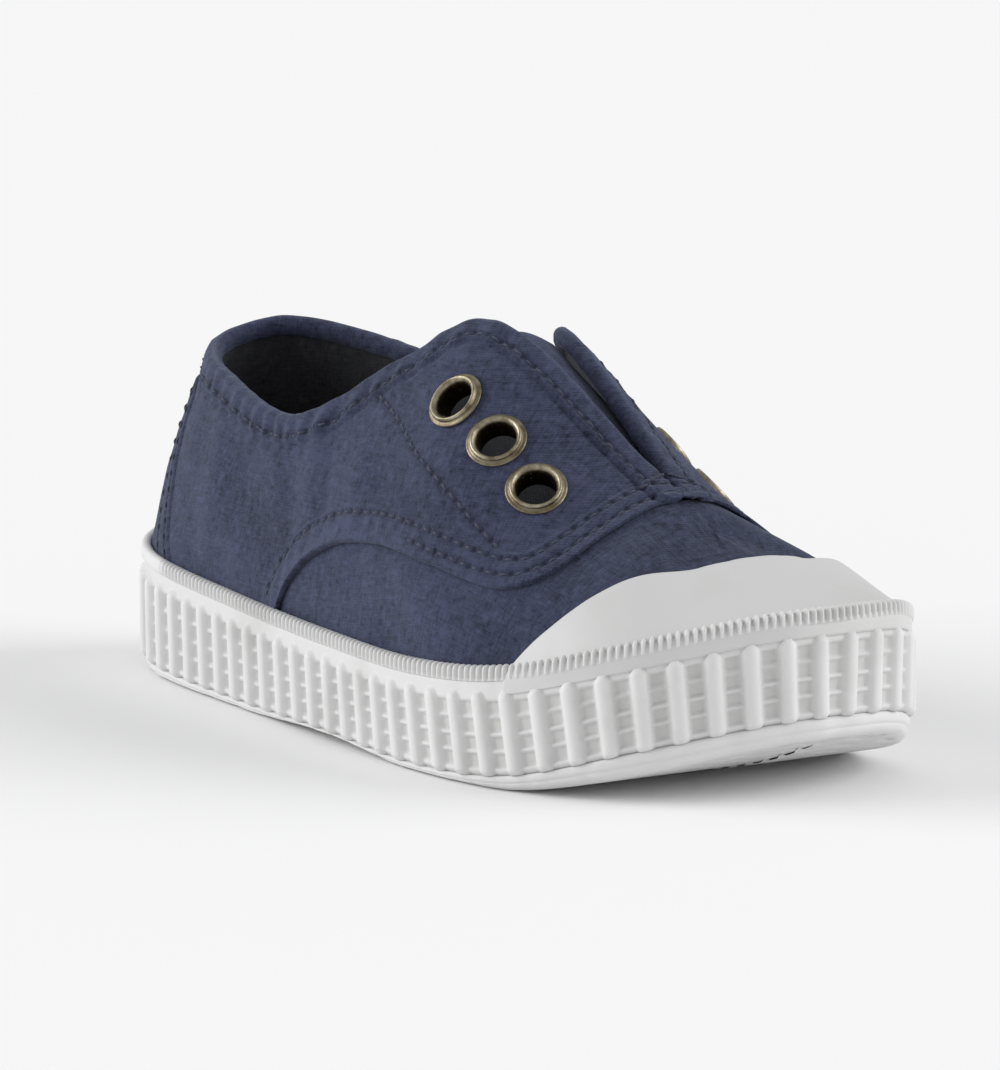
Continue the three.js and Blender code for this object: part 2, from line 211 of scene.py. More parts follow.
def skin(row, v):
    """Outer canvas surface. Across the ridge of the vamp a cubic arch with the slopes of both
    sides takes the place of the sharp roof."""
    row, v = np.broadcast_arrays(np.asarray(row, float), np.asarray(v, float))
    points = plain_skin(row, v)
    side = side_row(row)
    close = (side > THROAT_END - 0.3) & (side < FOCUS_ROW) & (v > 0.4)
    if close.any():
        start, p, slope = ridge_side(row[close])
        _, q, other_slope = ridge_side(ROWS - row[close])
        u = (np.clip((v[close] - start) / (1 - start), 0, 1) / 2)[..., None]
        arch = (2 * u**3 - 3 * u**2 + 1) * p + (u**3 - 2 * u**2 + u) * slope
        arch = arch + (3 * u**2 - 2 * u**3) * q - (u**3 - u**2) * other_slope
        weight = smoothstep(side[close], THROAT_END - 0.3, THROAT_END)
        weight = weight * (1 - smoothstep(side[close], 7.1, FOCUS_ROW)) * (v[close] > start)
        points[close] = points[close] + weight[..., None] * (arch - points[close])
    return points


def unit(vectors):
    return vectors / np.maximum(np.linalg.norm(vectors, axis=-1, keepdims=True), 1e-9)


def directions(row, v):
    """Unit vectors along the row, up the wall and out of it, from small steps on the skin."""
    step = 0.02
    low, high = np.clip(v - step, None, 1 - step), np.clip(v + step, None, 1)
    middle = np.minimum((low + high) / 2, 0.985)
    lengthwise = unit(skin(row + step, middle) - skin(row - step, middle))
    upwards = unit(skin(row, high) - skin(row, low))
    return lengthwise, upwards, unit(np.cross(lengthwise, upwards))


def lift(row, v, out=0.0, beyond=0.0):
    """A point moved out of the skin, and beyond it up the wall, by so many mm."""
    row, v = np.broadcast_arrays(np.asarray(row, float), np.asarray(v, float))
    _, upwards, outwards = directions(row, v)
    out, beyond = np.asarray(out)[..., None], np.asarray(beyond)[..., None]
    return skin(row, v) + outwards * out + upwards * beyond


print("top of the instep at row 5, mm:", np.round(skin(5, 1), 1))

# %% [markdown]
# ## From arrays to meshes
# Every piece is a grid of points: columns run round the shoe and the other way runs across the
# piece, over its edge and back inside, so that a thin piece is a closed shell with a real
# thickness. Solidify could give the thickness too, but a drawn section also gives the
# rolled hem and the proud, rounded edge that a real seam has.

# %% Mesh helpers
WELD_REACH = 4e-5  # metres


def grid_faces(m, n, wrap_m=False, wrap_n=False):
    """Quads between neighbours of an m by n grid, with outward faces for (round, up) order."""
    i, j = np.indices((m if wrap_m else m - 1, n if wrap_n else n - 1))
    i, j = i.ravel(), j.ravel()
    i2, j2 = (i + 1) % m, (j + 1) % n
    return np.stack([i * n + j, i2 * n + j, i2 * n + j2, i * n + j2], 1)


def weld_points(mesh):
    """Join the points that meet where a piece's two sides come together."""
    joined = bmesh.new()
    joined.from_mesh(mesh)
    before = len(joined.verts)
    bmesh.ops.remove_doubles(joined, verts=joined.verts, dist=WELD_REACH)
    print(mesh.name, "has", before - len(joined.verts), "points joined along its ridge")
    joined.to_mesh(mesh)
    joined.free()


def make_piece(name, node, slot, points, faces, uv=None, masks=None, weld=False):
    """A smooth-shaded mesh from arrays of points in mm. It is fixed to the shoe and stands for its
    CAD node; slot is not used. uv is in mm on the flat cloth, and masks are named
    values per point."""
    mesh = bpy.data.meshes.new(name)
    mesh.from_pydata(points.reshape(-1, 3) * MM, [], faces)
    mesh.polygons.foreach_set("use_smooth", np.ones(len(mesh.polygons), bool))
    if uv is not None:
        corners = np.empty(len(mesh.loops), np.int32)
        mesh.loops.foreach_get("vertex_index", corners)
        layer = mesh.uv_layers.new(name="cloth")
        layer.data.foreach_set("uv", uv.reshape(-1, 2)[corners].ravel())
    for key, values in (masks or {}).items():
        attribute = mesh.attributes.new(key, "FLOAT", "POINT")
        spread = np.broadcast_to(values, points.shape[:-1]).astype(np.float32)
        attribute.data.foreach_set("value", spread.ravel())
    mesh.validate()
    mesh.update()
    piece = bpy.data.objects.new(name, mesh)
    bpy.context.collection.objects.link(piece)
    if weld:
        weld_points(mesh)
    print(name, "has", sum(len(p.vertices) - 2 for p in mesh.polygons), "triangles")
    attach(piece, "root")
    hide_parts(node)
    return piece


def grid_piece(name, node, slot, points, closed="both", inside_out=False, hole=None, **rest):
    """A piece that is one grid of points, closed round the shoe, across its section or both.
    hole leaves out the faces nearer than that to an eyelet's axis."""
    faces = grid_faces(*points.shape[:2], closed in ("round", "both"), closed in ("across", "both"))
    if inside_out:
        faces = faces[:, ::-1]
    if hole:
        faces = faces[clear_of_eyelets(points, faces, hole)]
    return make_piece(name, node, slot, points, faces, **rest)


def shell(outer, inner):
    """A closed section: the outer face, then the inner face backwards."""
    return np.concatenate([outer, inner[:, ::-1]], 1)


def pad_inside(values, points):
    """Values of the outer face, with zeros for the rest of the section."""
    return np.pad(values, ((0, 0), (0, points.shape[1] - values.shape[1])))


def nearest_on(points, curve):
    """Distance to a polyline, and how far along it the nearest place lies."""
    best, run, start = np.full(points.shape[:-1], 1e9), np.zeros(points.shape[:-1]), 0.0
    for a, b in zip(curve[:-1], curve[1:]):
        ab = b - a
        size = max(np.linalg.norm(ab), 1e-9)
        share = np.clip((points - a) @ ab / size**2, 0, 1)
        offset = points - a - share[..., None] * ab
        distance = np.einsum("...k,...k->...", offset, offset)
        run = np.where(distance < best, start + share * size, run)
        best = np.minimum(best, distance)
        start += size
    return np.sqrt(best), run


def distance_to(points, curve):
    return nearest_on(points, curve)[0]


def lengths_along(points):
    """Running length along a polyline."""
    return np.concatenate([[0], np.cumsum(np.linalg.norm(np.diff(points, axis=0), axis=1))])


def resample(values, points, count):
    """Values at count places spread evenly by length along the polyline of points."""
    run = lengths_along(points)
    even = np.linspace(0, run[-1], count)
    return np.stack([np.interp(even, run, column) for column in np.asarray(values, float).T], -1)


def smooth_through(points, count):
    """An open Catmull-Rom curve through the table's points."""
    p = np.asarray(points, float)
    p = np.vstack([2 * p[0] - p[1], p, 2 * p[-1] - p[-2]])
    t = np.linspace(0, len(p) - 3 - 1e-6, count)
    i = t.astype(int)
    f = (t - i)[:, None]
    a, b, c, d = p[i], p[i + 1], p[i + 2], p[i + 3]
    slope = (c - a) * f + (2 * a - 5 * b + 4 * c - d) * f**2
    return b + (slope + (3 * b - a - 3 * c + d) * f**3) / 2


def both_sides(*lines):
    """Each line, and then the same on the medial side: its rows counted the other way."""
    return [line * [side, 1] for line in lines for side in (1, -1)]


def shifted(curve, distance, steps=6):
    """A line on the skin moved sideways. Each small step solves for the change of row and
    height whose movement on the skin is the wanted one."""
    curve = np.array(curve, float)
    h = 0.01
    for _ in range(steps):
        row, v = curve.T
        tangent = unit(np.gradient(skin(row, v), axis=0))
        _, _, outwards = directions(row, v)
        wanted = np.cross(outwards, tangent) * distance / steps
        by_row = (skin(row + h, v) - skin(row - h, v)) / (2 * h)
        by_v = (skin(row, v + h) - skin(row, v - h)) / (2 * h)
        rr, rv, vv = ((a * b).sum(-1) for a, b in ((by_row, by_row), (by_row, by_v), (by_v, by_v)))
        wr, wv = (by_row * wanted).sum(-1), (by_v * wanted).sum(-1)
        det = rr * vv - rv * rv + 1e-6
        curve += np.stack([(wr * vv - wv * rv) / det, (wv * rr - wr * rv) / det], -1)
    return curve


noise_draw = np.random.default_rng(7)
WAVES = noise_draw.normal(size=(14, 3))
PHASES = noise_draw.uniform(0, 2 * np.pi, 14)


def unevenness(points, size):
    """Soft, repeatable noise between about -1 and 1: a sum of sine waves in many directions,
    about size mm from crest to crest."""
    waves = points @ (WAVES * 2 * np.pi / (1.6 * size)).T + PHASES
    return np.sin(waves).sum(-1) / 4


# %% [markdown]
# ## The lines that a maker chalks on the canvas
# Panels, seams and stitch rows follow these lines: the top line, the wave where the quarters lap
# over the vamp, the edge of the heel patch and the stitching round the eyelets.

# %% Seam lines, as rows and heights
WAVE = smooth_through([
    [3.35, -0.16], [3.40, -0.02], [3.46, 0.12], [3.57, 0.22], [3.75, 0.295], [4.02, 0.335],
    [4.37, 0.33], [4.70, 0.305], [5.03, 0.285], [5.40, 0.288], [5.76, 0.335], [6.02, 0.45],
    [6.24, 0.68], [6.44, 0.86], [6.66, 1.0],
], 400)
WAVE[:, 1] = np.minimum(WAVE[:, 1], 1)
WAVE_LINES = [resample(line, skin(*line.T), 150) for line in both_sides(WAVE)]
HEM = 4.9  # width of the folded hem
HEM_SEAM = 1.1  # its stitches, up from its lower edge
UPPER_SEAM, LOWER_SEAM = 4.2, 1.7  # two rows of stitches, up from the wave's edge
TOP_LINE = np.stack([np.linspace(-THROAT_END, THROAT_END, 260), np.ones(260)], -1)
PATCH_TOP = 0.80
PATCH_FOOT, PATCH_HEAD = 2.28, 1.5  # rows where the heel patch ends, at the sole and at the hem
hem_line = shifted(TOP_LINE[4:-4], HEM_SEAM - HEM)
facing = smooth_through([
    [3.93, 0.845], [4.25, 0.72], [4.57, 0.59], [4.92, 0.50], [5.25, 0.445], [5.52, 0.42],
], 80)
wave_body = WAVE[(WAVE[:, 0] > 3.43) & (WAVE[:, 0] < 6.55)]
wave_upper = shifted(wave_body, UPPER_SEAM)
wave_upper = wave_upper[wave_upper[:, 1] < 0.985]
wave_lower = shifted(WAVE[(WAVE[:, 0] > 4.75) & (WAVE[:, 0] < 6.6)], LOWER_SEAM)
wave_lower = wave_lower[wave_lower[:, 1] < 0.985]
patch_heights = np.linspace(0.02, 0.78, 60)
patch_rows = PATCH_FOOT + (PATCH_HEAD - PATCH_FOOT) * (patch_heights / PATCH_TOP) ** 0.9
patch_lines = [np.stack([patch_rows - inset, patch_heights], -1) for inset in (0.07, 0.24)]
QUARTER_SEAMS = [hem_line, *both_sides(facing, wave_upper, wave_lower)]
PATCH_SEAMS = both_sides(*patch_lines)
STITCH_PITCH = 2.4


def seam_fields(points, seams):
    """Distance to the nearest seam, and how many stitches along it that place lies. The needle
    holes come half-way between the stitches."""
    near, phase = np.full(points.shape[:-1], 1e9), np.zeros(points.shape[:-1])
    for line in seams:
        path = skin(*line.T)
        path = resample(path, path, max(12, int(lengths_along(path)[-1] / 2.5)))
        total = lengths_along(path)[-1]
        spacing = total / (max(2, int(total / STITCH_PITCH)) - 1)
        distance, run = nearest_on(points, path)
        phase = np.where(distance < near, run / spacing, phase)
        near = np.minimum(near, distance)
    return {"seam": np.minimum(near, 9), "stitch": phase}


print("the wave seam is", round(lengths_along(skin(*WAVE.T))[-1]), "mm long on each side")

# %% [markdown]
# ## Folds and softness
# Worn cloth shows soft troughs where it is pulled and ridges where it is full. Cloth simulation
# could find them, but the few that this shoe shows are listed: each runs from one place
# to another, with a width and a depth, and fades out like a bell curve.

# %% Creases of the canvas, listed one by one
CREASES = table("row v row_2 v_2 width depth", [  # width and depth in mm
    [3.55, 0.80, 3.70, 0.48, 2.6, 0.55],
    [3.25, 0.70, 3.38, 0.40, 3.4, 0.45],
    [3.95, 0.62, 4.05, 0.40, 3.0, -0.40],
    [2.75, 0.62, 3.30, 0.28, 4.5, 0.50],
    [2.35, 0.75, 2.60, 0.20, 4.0, -0.45],
    [4.15, 0.22, 4.55, 0.06, 3.2, 0.50],
    [4.75, 0.22, 5.10, 0.07, 4.2, -0.45],
    [5.35, 0.20, 5.90, 0.12, 3.0, 0.45],
    [4.25, 0.52, 4.75, 0.42, 3.0, 0.35],
    [6.60, 0.80, 7.10, 0.72, 2.6, 0.35],
    [13.00, 0.25, 13.60, 0.10, 3.5, 0.50],
    [14.10, 0.45, 14.45, 0.20, 4.0, -0.45],
    [14.60, 0.72, 14.75, 0.40, 3.0, 0.50],
    [15.50, 0.60, 15.20, 0.25, 4.0, 0.45],
    [12.20, 0.30, 12.80, 0.20, 3.0, 0.40],
])


def softness(points):
    """How far the canvas lies out of the plain form: slow unevenness less each crease."""
    out = 0.24 * unevenness(points, 26) + 0.10 * unevenness(points, 9)
    for row, v, row_2, v_2, width, depth in zip(*CREASES.values()):
        ends = skin(np.linspace(row, row_2, 5), np.linspace(v, v_2, 5))
        out = out - depth * bell(distance_to(points, ends), 0, width)
    return out


def tucked_in(out, v):
    """Behind the band the cloth lies flat against the rubber, a little inside the plain skin."""
    return out - (out + 0.3) * (1 - smoothstep(v, -0.04, 0.03))


print("creases placed:", len(CREASES["row"]))

# %% [markdown]
# ## Quarters
# One piece of canvas goes round the heel and forms both facings. Its lower front edge is turned
# under, laps over the vamp in a wave, and stands proud of it. The top edge is folded into a hem
# that is rolled over the lining. The section of each column is drawn in that order.

# %% Relief of the quarters' outer face
def eyelet_places():
    """Row, height, and name of each eyelet: three on each facing."""
    places = [(4.87, 0.725), (5.27, 0.675), (5.61, 0.645)]
    for i, (row, v) in enumerate(places, 1):
        yield row, v, f"eyelet_lateral_{i}"
        yield ROWS - row, v - 0.03, f"eyelet_medial_{i}"


EYELET_SEATS = np.array([skin(row, v) for row, v, _ in eyelet_places()])


def relief(points, row):
    """mm above the plain skin: the lapped strip along the wave, the folded hem along the top
    line with its seam and puckers, flat places for the eyelets, and the softness of the cloth."""
    side = side_row(row)
    wave = np.minimum(*(distance_to(points, skin(*line.T)) for line in WAVE_LINES))
    top = distance_to(points, skin(*TOP_LINE.T))
    strip = 1 - smoothstep(wave, 4.9, 5.7)
    out = 0.32 + 0.55 * strip
    out += 0.5 * np.exp(-wave / 1.4) * bell(side, 3.9, 0.55)
    out -= 0.22 * bell(wave, UPPER_SEAM, 0.4) * strip
    out -= 0.16 * bell(wave, LOWER_SEAM, 0.4) * smoothstep(side, 4.8, 5.1)
    hem = 1 - smoothstep(top, HEM - 0.35, HEM + 0.25)
    throat = smoothstep(side, 5.2, 5.6)
    out += hem * (0.32 + 0.2 * throat)
    out -= 0.2 * bell(top, HEM + 0.3, 0.5) * (1 + throat)
    out -= 0.16 * bell(top, HEM - HEM_SEAM, 0.4)
    pucker = 0.5 + 0.5 * unevenness(points, 7)
    ripple = np.sin(points[..., 0] * 1.4 + 2.2 * unevenness(points, 30))
    out += 0.34 * ripple * pucker * bell(top, 3.4, 2.2)
    out += 0.10 * np.sin(points[..., 0] * 1.7) * bell(wave, 2.8, 1.8)
    flat = np.min([np.linalg.norm(points - seat, axis=-1) for seat in EYELET_SEATS], axis=0)
    return out + softness(points) * smoothstep(flat, 5.0, 9.0)


QUARTER_FOOT = -0.16


def wave_height(row):
    """Height of the wave line over a row; behind it the canvas runs down behind the band."""
    return np.interp(side_row(row), WAVE[:, 0], WAVE[:, 1], left=QUARTER_FOOT)


# Columns are even by length along the lower edge: behind the band first, then along the wave.
heel_part = np.stack([np.linspace(0, WAVE[0, 0], 120)[:-1], np.full(119, QUARTER_FOOT)], -1)
lower = np.vstack([heel_part, WAVE])
half = resample(lower, skin(*lower.T), 262)[:, 0]
quarter_rows = np.concatenate([-half[:0:-1], half])
OUTER = 84
ease = np.linspace(0, 1, OUTER)
ease = ease - 0.09 * np.sin(2 * np.pi * ease)  # closer together near both edges
print("columns round the quarters:", len(quarter_rows))

# %% Build the quarters
CLOTH = 0.95  # thickness of the quarters' canvas
WALL_LEAN = 1.06  # length along a wall for each mm of height


def cloth_uv(row, points):
    """Flat-cloth coordinates in mm: distance round the shoe, and length up the leaning wall."""
    fine = np.linspace(-ROWS / 2, ROWS * 1.5, 1600)
    run = lengths_along(skin(fine, 0.5))
    across = np.interp(row, fine, run)
    return np.stack([np.broadcast_to(across, points.shape[:-1]), points[..., 2] * WALL_LEAN], -1)


def clear_of_eyelets(points, faces, radius):
    """True for the faces whose middle is further than radius from every eyelet's axis."""
    middles = points.reshape(-1, 3)[faces].mean(1)
    keep = np.ones(len(faces), bool)
    for row, v, _ in eyelet_places():
        centre = skin(row, v)
        axis = directions(np.array(row), np.array(v))[2]
        offset = middles - centre
        depth = offset @ axis
        sideways = np.linalg.norm(offset - depth[:, None] * axis, axis=1)
        keep &= (sideways > radius) | (np.abs(depth) > 5)
    return keep


rho = quarter_rows[:, None]
low_v = wave_height(rho)
on_ridge = side_row(rho) >= THROAT_END
wall_height = np.linalg.norm(skin(rho, 1.0) - skin(rho, low_v), axis=-1)
roll_radius = np.where(on_ridge, 0.0, 1.35)
top_v = 1 - (1 - low_v) * roll_radius / wall_height  # the roll's crest is at the top line
outer_v = low_v + (top_v - low_v) * ease
outer_out = tucked_in(relief(skin(rho, outer_v), rho), outer_v)
edge_out = outer_out[:, :1]
ROLL = 6
turn = np.linspace(0, np.pi, ROLL + 2)[1:-1]
roll_out = outer_out[:, -1:] - roll_radius + roll_radius * np.cos(turn)
roll_beyond = roll_radius * np.sin(turn)
inner_ease = np.linspace(1, 0, 34)
inner_v = low_v + (top_v - low_v) * inner_ease
depth_in = (1 - inner_ease) * wall_height
hem_in = outer_out[:, -1:] - 2 * roll_radius
behind = np.where(on_ridge, outer_out[:, -1:] - 1.2, -CLOTH + 0.15)
turned_in = smoothstep(depth_in, 1.3, 2.4)
hem_level = hem_in * (1 - turned_in) + behind * turned_in
near_edge = 1 - smoothstep(wall_height - depth_in, 3.0, 5.0)
vamp_room = (side_row(rho) > WAVE[0, 0]) * (0.04 - behind) * near_edge
inner_out = hem_level + vamp_room
fold = np.linspace(0, np.pi, 6)[1:-1]
fold_radius = (edge_out - inner_out[:, -1:]) / 2
fold_out = inner_out[:, -1:] + fold_radius * (1 - np.cos(fold))
fold_beyond = -np.clip(fold_radius, 0, 0.5) * np.sin(fold)
section_v = np.concatenate([outer_v, top_v + 0 * roll_out, inner_v, low_v + 0 * fold_out], 1)
section_out = np.concatenate([outer_out, roll_out, inner_out, fold_out], 1)
section_beyond = np.concatenate([0 * outer_v, roll_beyond, 0 * inner_v, fold_beyond], 1)
quarter_points = lift(rho, section_v, section_out, section_beyond)
# Both sides share the ridge's points ahead of the throat.
ridge_columns = on_ridge[:, 0]
shared = slice(OUTER - 1, OUTER + ROLL + 1)
both = (quarter_points[:, shared] + quarter_points[::-1, shared]) / 2
quarter_points[ridge_columns, shared] = both[ridge_columns]
# Its fold mask, how far the cloth stands out, later paints highlight and shade on the canvas.
quarters = grid_piece(
    "quarters", "upper", "canvas", quarter_points, "across", hole=3.4, weld=True,
    uv=cloth_uv(rho, quarter_points),
    masks={"fold": pad_inside(np.clip(outer_out - 0.3, -1, 1), quarter_points),
           **seam_fields(skin(rho, section_v), QUARTER_SEAMS)},
)

# %% [markdown]
# ## Vamp
# The vamp is the canvas over the toes. It goes down behind the band, runs under the rubber cap,
# and its back edge lies hidden under the quarters. A cloth simulation could drape it, but on a
# last it is pulled tight, so it follows the skin with a little softness added.

# %% Build the vamp
TUCK = 0.1125  # how far it goes in under the quarters, as a height
VAMP_START = 3.2  # its first row, hidden behind the quarters' edge
VAMP_FOOT = -0.12
VAMP_OUTER = 90
FAR = 9.0  # a distance to seams that means there is none
vamp_rho = np.linspace(VAMP_START, ROWS - VAMP_START, 400)[:, None]
vamp_side = side_row(vamp_rho)
tucked = np.interp(vamp_side, WAVE[:, 0], WAVE[:, 1], left=-0.1) + TUCK
vamp_top = np.where(vamp_side >= WAVE[-1, 0], 1.0, np.clip(tucked, 0.1, 1.0))
vamp_v = VAMP_FOOT + (vamp_top - VAMP_FOOT) * np.linspace(0, 1, VAMP_OUTER)
vamp_flat = skin(vamp_rho, vamp_v)
vamp_out = softness(vamp_flat)
vamp_out = tucked_in(vamp_out * (1 - smoothstep(vamp_side, 7.6, 8.6)), vamp_v)
inside_v = VAMP_FOOT + (vamp_top - VAMP_FOOT) * np.linspace(1, 0, 14)
vamp_section_v = np.concatenate([vamp_v, inside_v], 1)
vamp_section_out = np.concatenate([vamp_out, np.full(inside_v.shape, -0.8)], 1)
vamp_points = lift(vamp_rho, vamp_section_v, vamp_section_out)
ridge = vamp_side[:, 0] >= WAVE[-1, 0]
for j in (VAMP_OUTER - 1, VAMP_OUTER):
    both = (vamp_points[:, j] + vamp_points[::-1, j]) / 2
    vamp_points[ridge, j] = both[ridge]
ridge_line = skin(np.linspace(7.0, 9.0, 60), 1.0)
ridge_line = ridge_line[np.argsort(ridge_line[:, 0])]
ridge_y = np.interp(vamp_points[..., 0], ridge_line[:, 0], ridge_line[:, 1])
ridge_z = np.interp(vamp_points[..., 0], ridge_line[:, 0], ridge_line[:, 2])
# One cloth lies over both sides, so it is measured from the ridge: y + 0.6 drop, to either side.
from_ridge = np.abs(vamp_points[..., 1] - ridge_y) + 0.6 * np.abs(ridge_z - vamp_points[..., 2])
vamp_uv = np.stack([vamp_points[..., 0], from_ridge * np.where(vamp_rho < ROWS / 2, -1, 1)], -1)
# Its fold mask, the cloth's softness, later paints highlight and shade on the canvas.
vamp = grid_piece(
    "vamp", "upper", "canvas", vamp_points, "across", weld=True, uv=vamp_uv,
    masks={"fold": pad_inside(np.clip(vamp_out, -1, 1), vamp_points), "seam": FAR},
)

# %% [markdown]
# ## Heel patch
# A second layer of the same canvas stiffens the heel. It is stitched flat on the quarters with
# two rows, and narrows towards the hem. A raised band in the quarters' relief could stand for it,
# but its own thin shell has a real cut edge.

# %% Build the heel patch
PATCH_RISE = 0.5  # how far it stands proud of the quarters
patch_v = np.linspace(-0.14, PATCH_TOP, 60)
patch_share = np.linspace(-1, 1, 150)[:, None]
patch_share = patch_share + 0.10 * np.sin(np.pi * patch_share)
patch_edge = PATCH_FOOT + (PATCH_HEAD - PATCH_FOOT) * (np.clip(patch_v, 0, 1) / PATCH_TOP) ** 0.9
patch_rho = patch_share * patch_edge
patch_flat = skin(patch_rho, patch_v)
patch_base = tucked_in(relief(patch_flat, patch_rho), patch_v)
rim = np.sqrt(1 - np.abs(patch_share) ** 60)
patch_points = shell(lift(patch_rho, patch_v, patch_base + PATCH_RISE * rim),
                     lift(patch_rho, patch_v, patch_base - 0.2))
patch = grid_piece(
    "heel_patch", "upper", "canvas", patch_points, "across",
    uv=cloth_uv(shell(patch_rho, patch_rho), patch_points) + [0, 83],
    masks=seam_fields(shell(patch_flat, patch_flat), PATCH_SEAMS),
)

# %% [markdown]
# ## Lining
# Inside the canvas is a thin dark cotton lining. It shows through the collar and the eyelets.
# The quarters' inner face could be coloured dark instead, but a shell of its own closes the shoe
# behind the vamp too, and hides how the pieces overlap.

# %% Build the lining
LINING_FOOT = -0.36
lining_rho = np.linspace(0, ROWS, 361)[:-1, None]
lining_top = np.where(side_row(lining_rho) < THROAT_END, 0.955, 1.0)
lining_v = LINING_FOOT + (lining_top - LINING_FOOT) * np.linspace(0, 1, 40)
lining_base = skin(lining_rho, lining_v)
lining_soft = 0.25 * unevenness(lining_base, 17) + 0.1 * unevenness(lining_base, 6)
lining_points = shell(lift(lining_rho, lining_v, -1.0),
                      lift(lining_rho, lining_v, -1.7 + 0.3 * lining_soft))
lining = grid_piece(
    "lining", "upper", "lining", lining_points, hole=3.75, uv=cloth_uv(lining_rho, lining_points))

# %% [markdown]
# ## Tongue
# A strip of canvas lies under both facings and bridges the throat. A bent plane could fill the
# gap, but its edges have to stay against the facings, so it is drawn as an arc from one facing's
# underside to the other's, at stations down the throat.

# %% Build the tongue
TONGUE_START, TONGUE_END, TONGUE_REACH = 4.95, 6.25, 0.86
stations = np.linspace(TONGUE_START, TONGUE_END, 60)[:, None]
under_v = TONGUE_REACH + (0.985 - TONGUE_REACH) * np.linspace(0, 1, 10)
lateral, medial = (lift(side * stations, under_v, -WALL - 0.9) for side in (1, -1))
bridge = np.linspace(0, 1, 23)[1:-1, None]
left, right = lateral[:, -1:], medial[:, -1:]
arc = left + (right - left) * bridge
arc[..., 2] += 4 * 0.10 * np.linalg.norm(right - left, axis=-1) * (bridge * (1 - bridge))[:, 0]
tongue_top = np.concatenate([lateral, arc, medial[:, ::-1]], 1)
tongue_top[..., 2] += 0.16 * unevenness(tongue_top, 8)
tongue_points = shell(tongue_top, tongue_top - [0, 0, 1.0])
tongue = grid_piece(
    "tongue_strip", "tongue", "canvas", tongue_points, "across", inside_out=True,
    uv=tongue_points[..., :2] + [300, 0], masks={"seam": FAR},
)

# %% [markdown]
# ## Footbed
# The footbed is a thin foam board with a dark cotton cover. It is slightly dished, with a
# rounded edge. A bevelled slab would do from far off. One section, drawn from the rim to the
# middle and repeated round the outline, gives the dish as well.

# %% Build the footbed
bed_rows = np.linspace(0, ROWS, 241)[:-1][:, None]
inner_edge = BAND_THICK + 2 * GAP + WALL
bed_base = along(RIBS_Z, bed_rows) + 5.5 + GAP
bed_share = np.array([1, 1, 0.99, 0.97, 0.93, 0.85, 0.7, 0.5, 0.25, 0.0])
bed_height = np.array([0.1, 2.2, 2.7, 2.95, 2.9, 2.7, 2.5, 2.35, 2.3, 2.3])
edge_x, edge_y = outline(bed_rows, inner_edge + 0.1)
spine_y = (edge_y + outline(-bed_rows, inner_edge)[1]) / 2
bed_y = spine_y + (edge_y - spine_y) * bed_share
bed_top, bed_under = (
    np.stack(np.broadcast_arrays(edge_x, bed_y, z), -1) for z in (bed_base + bed_height, bed_base))
bed_points = shell(bed_top, bed_under)
footbed = grid_piece(
    "footbed", "insole", "lining", bed_points, "round", uv=bed_points[..., :2])

# %% [markdown]
# ## Sidewall
# The rubber sidewall is moulded with upright half-round bars. Between two bars are small sunken
# cells like the rungs of a ladder. A Displace modifier could press them in from a texture, but
# here the depth is a formula of two numbers: how far round, in bars, and how far up, in mm.

# %% The sidewall's depth formula
BARS = 72
PITCH_SAMPLES = 20
BEAD_TALL = 2.4
bar_fine = np.linspace(0, ROWS, 3600)
bar_run = lengths_along(np.stack(outline(bar_fine), -1))
PITCH = bar_run[-1] / BARS
BAR_HALF = 0.235 * PITCH
BAR_PROUD = 0.95
LEAN = np.array([0, 0.3, 0.9, 1.3, 1.8, 2.5, 2.4, 1.6, 0.8, 0.3])  # bar's foot, mm towards the toe


def row_at(length):
    """The row at a length round the outline, which closes on itself."""
    whole = np.floor(length / bar_run[-1])
    return np.interp(length - whole * bar_run[-1], bar_run, bar_fine) + whole * ROWS


def sidewall_depth(phase, height, tall):
    """How deep a point lies below the bars' crests. A bar is a half-round capsule, and a cell
    is a rounded window split by three thin rungs."""
    x = (phase - np.round(phase)) * PITCH
    beyond = np.clip(height - (tall - 1.6 - BAR_HALF), 0, None) + np.clip(0.5 - height, 0, None)
    bar = np.sqrt(np.clip(1 - (x**2 + beyond**2) / BAR_HALF**2, 0, 1))
    to_middle = PITCH / 2 - np.abs(x)
    window = 1 - smoothstep(to_middle, PITCH / 2 - BAR_HALF - 0.55, PITCH / 2 - BAR_HALF - 0.12)
    window = window * smoothstep(height, 0.7, 1.1)
    window = window * (1 - smoothstep(height, tall - 3.0, tall - 2.4))
    cell = (tall - 3.6) / 4
    from_rung = np.abs(np.mod(height - 0.9 - cell / 2, cell) - cell / 2)
    rung = smoothstep(from_rung, 0.16, 0.42)
    return BAR_PROUD * (1 - bar) + 0.5 * window * rung


# %% Build the sidewall
wall_count = BARS * PITCH_SAMPLES
wall_length = np.arange(wall_count)[:, None] * bar_run[-1] / wall_count
wall_row = row_at(wall_length)
foot_z = along(RIBS_Z, wall_row)
head_z = along(BAND_Z, wall_row) - BEAD_TALL
tall = head_z - foot_z
share = np.linspace(0, 1, 46)
lean = along(np.concatenate([LEAN, LEAN[-2:0:-1]]), wall_row) * np.where(wall_row < ROWS / 2, 1, -1)
leaning_row = row_at(wall_length + lean * (0.5 - share))
depth = sidewall_depth(wall_length / PITCH, share * tall, tall)
foot_round = 0.5 * (1 - smoothstep(share * tall, 0, 0.7))
wall_x, wall_y = outline(leaning_row, depth + foot_round)
wall_head = along(BAND_Z, leaning_row) - BEAD_TALL
wall_z = along(RIBS_Z, leaning_row) * (1 - share) + wall_head * share
outer_wall = np.stack([wall_x, wall_y, wall_z], -1)
inner_edges = np.concatenate([head_z, foot_z], 1)
inner_wall = np.stack(np.broadcast_arrays(*outline(wall_row, BAND_THICK), inner_edges), -1)
wall_points = np.concatenate([outer_wall, inner_wall], 1)
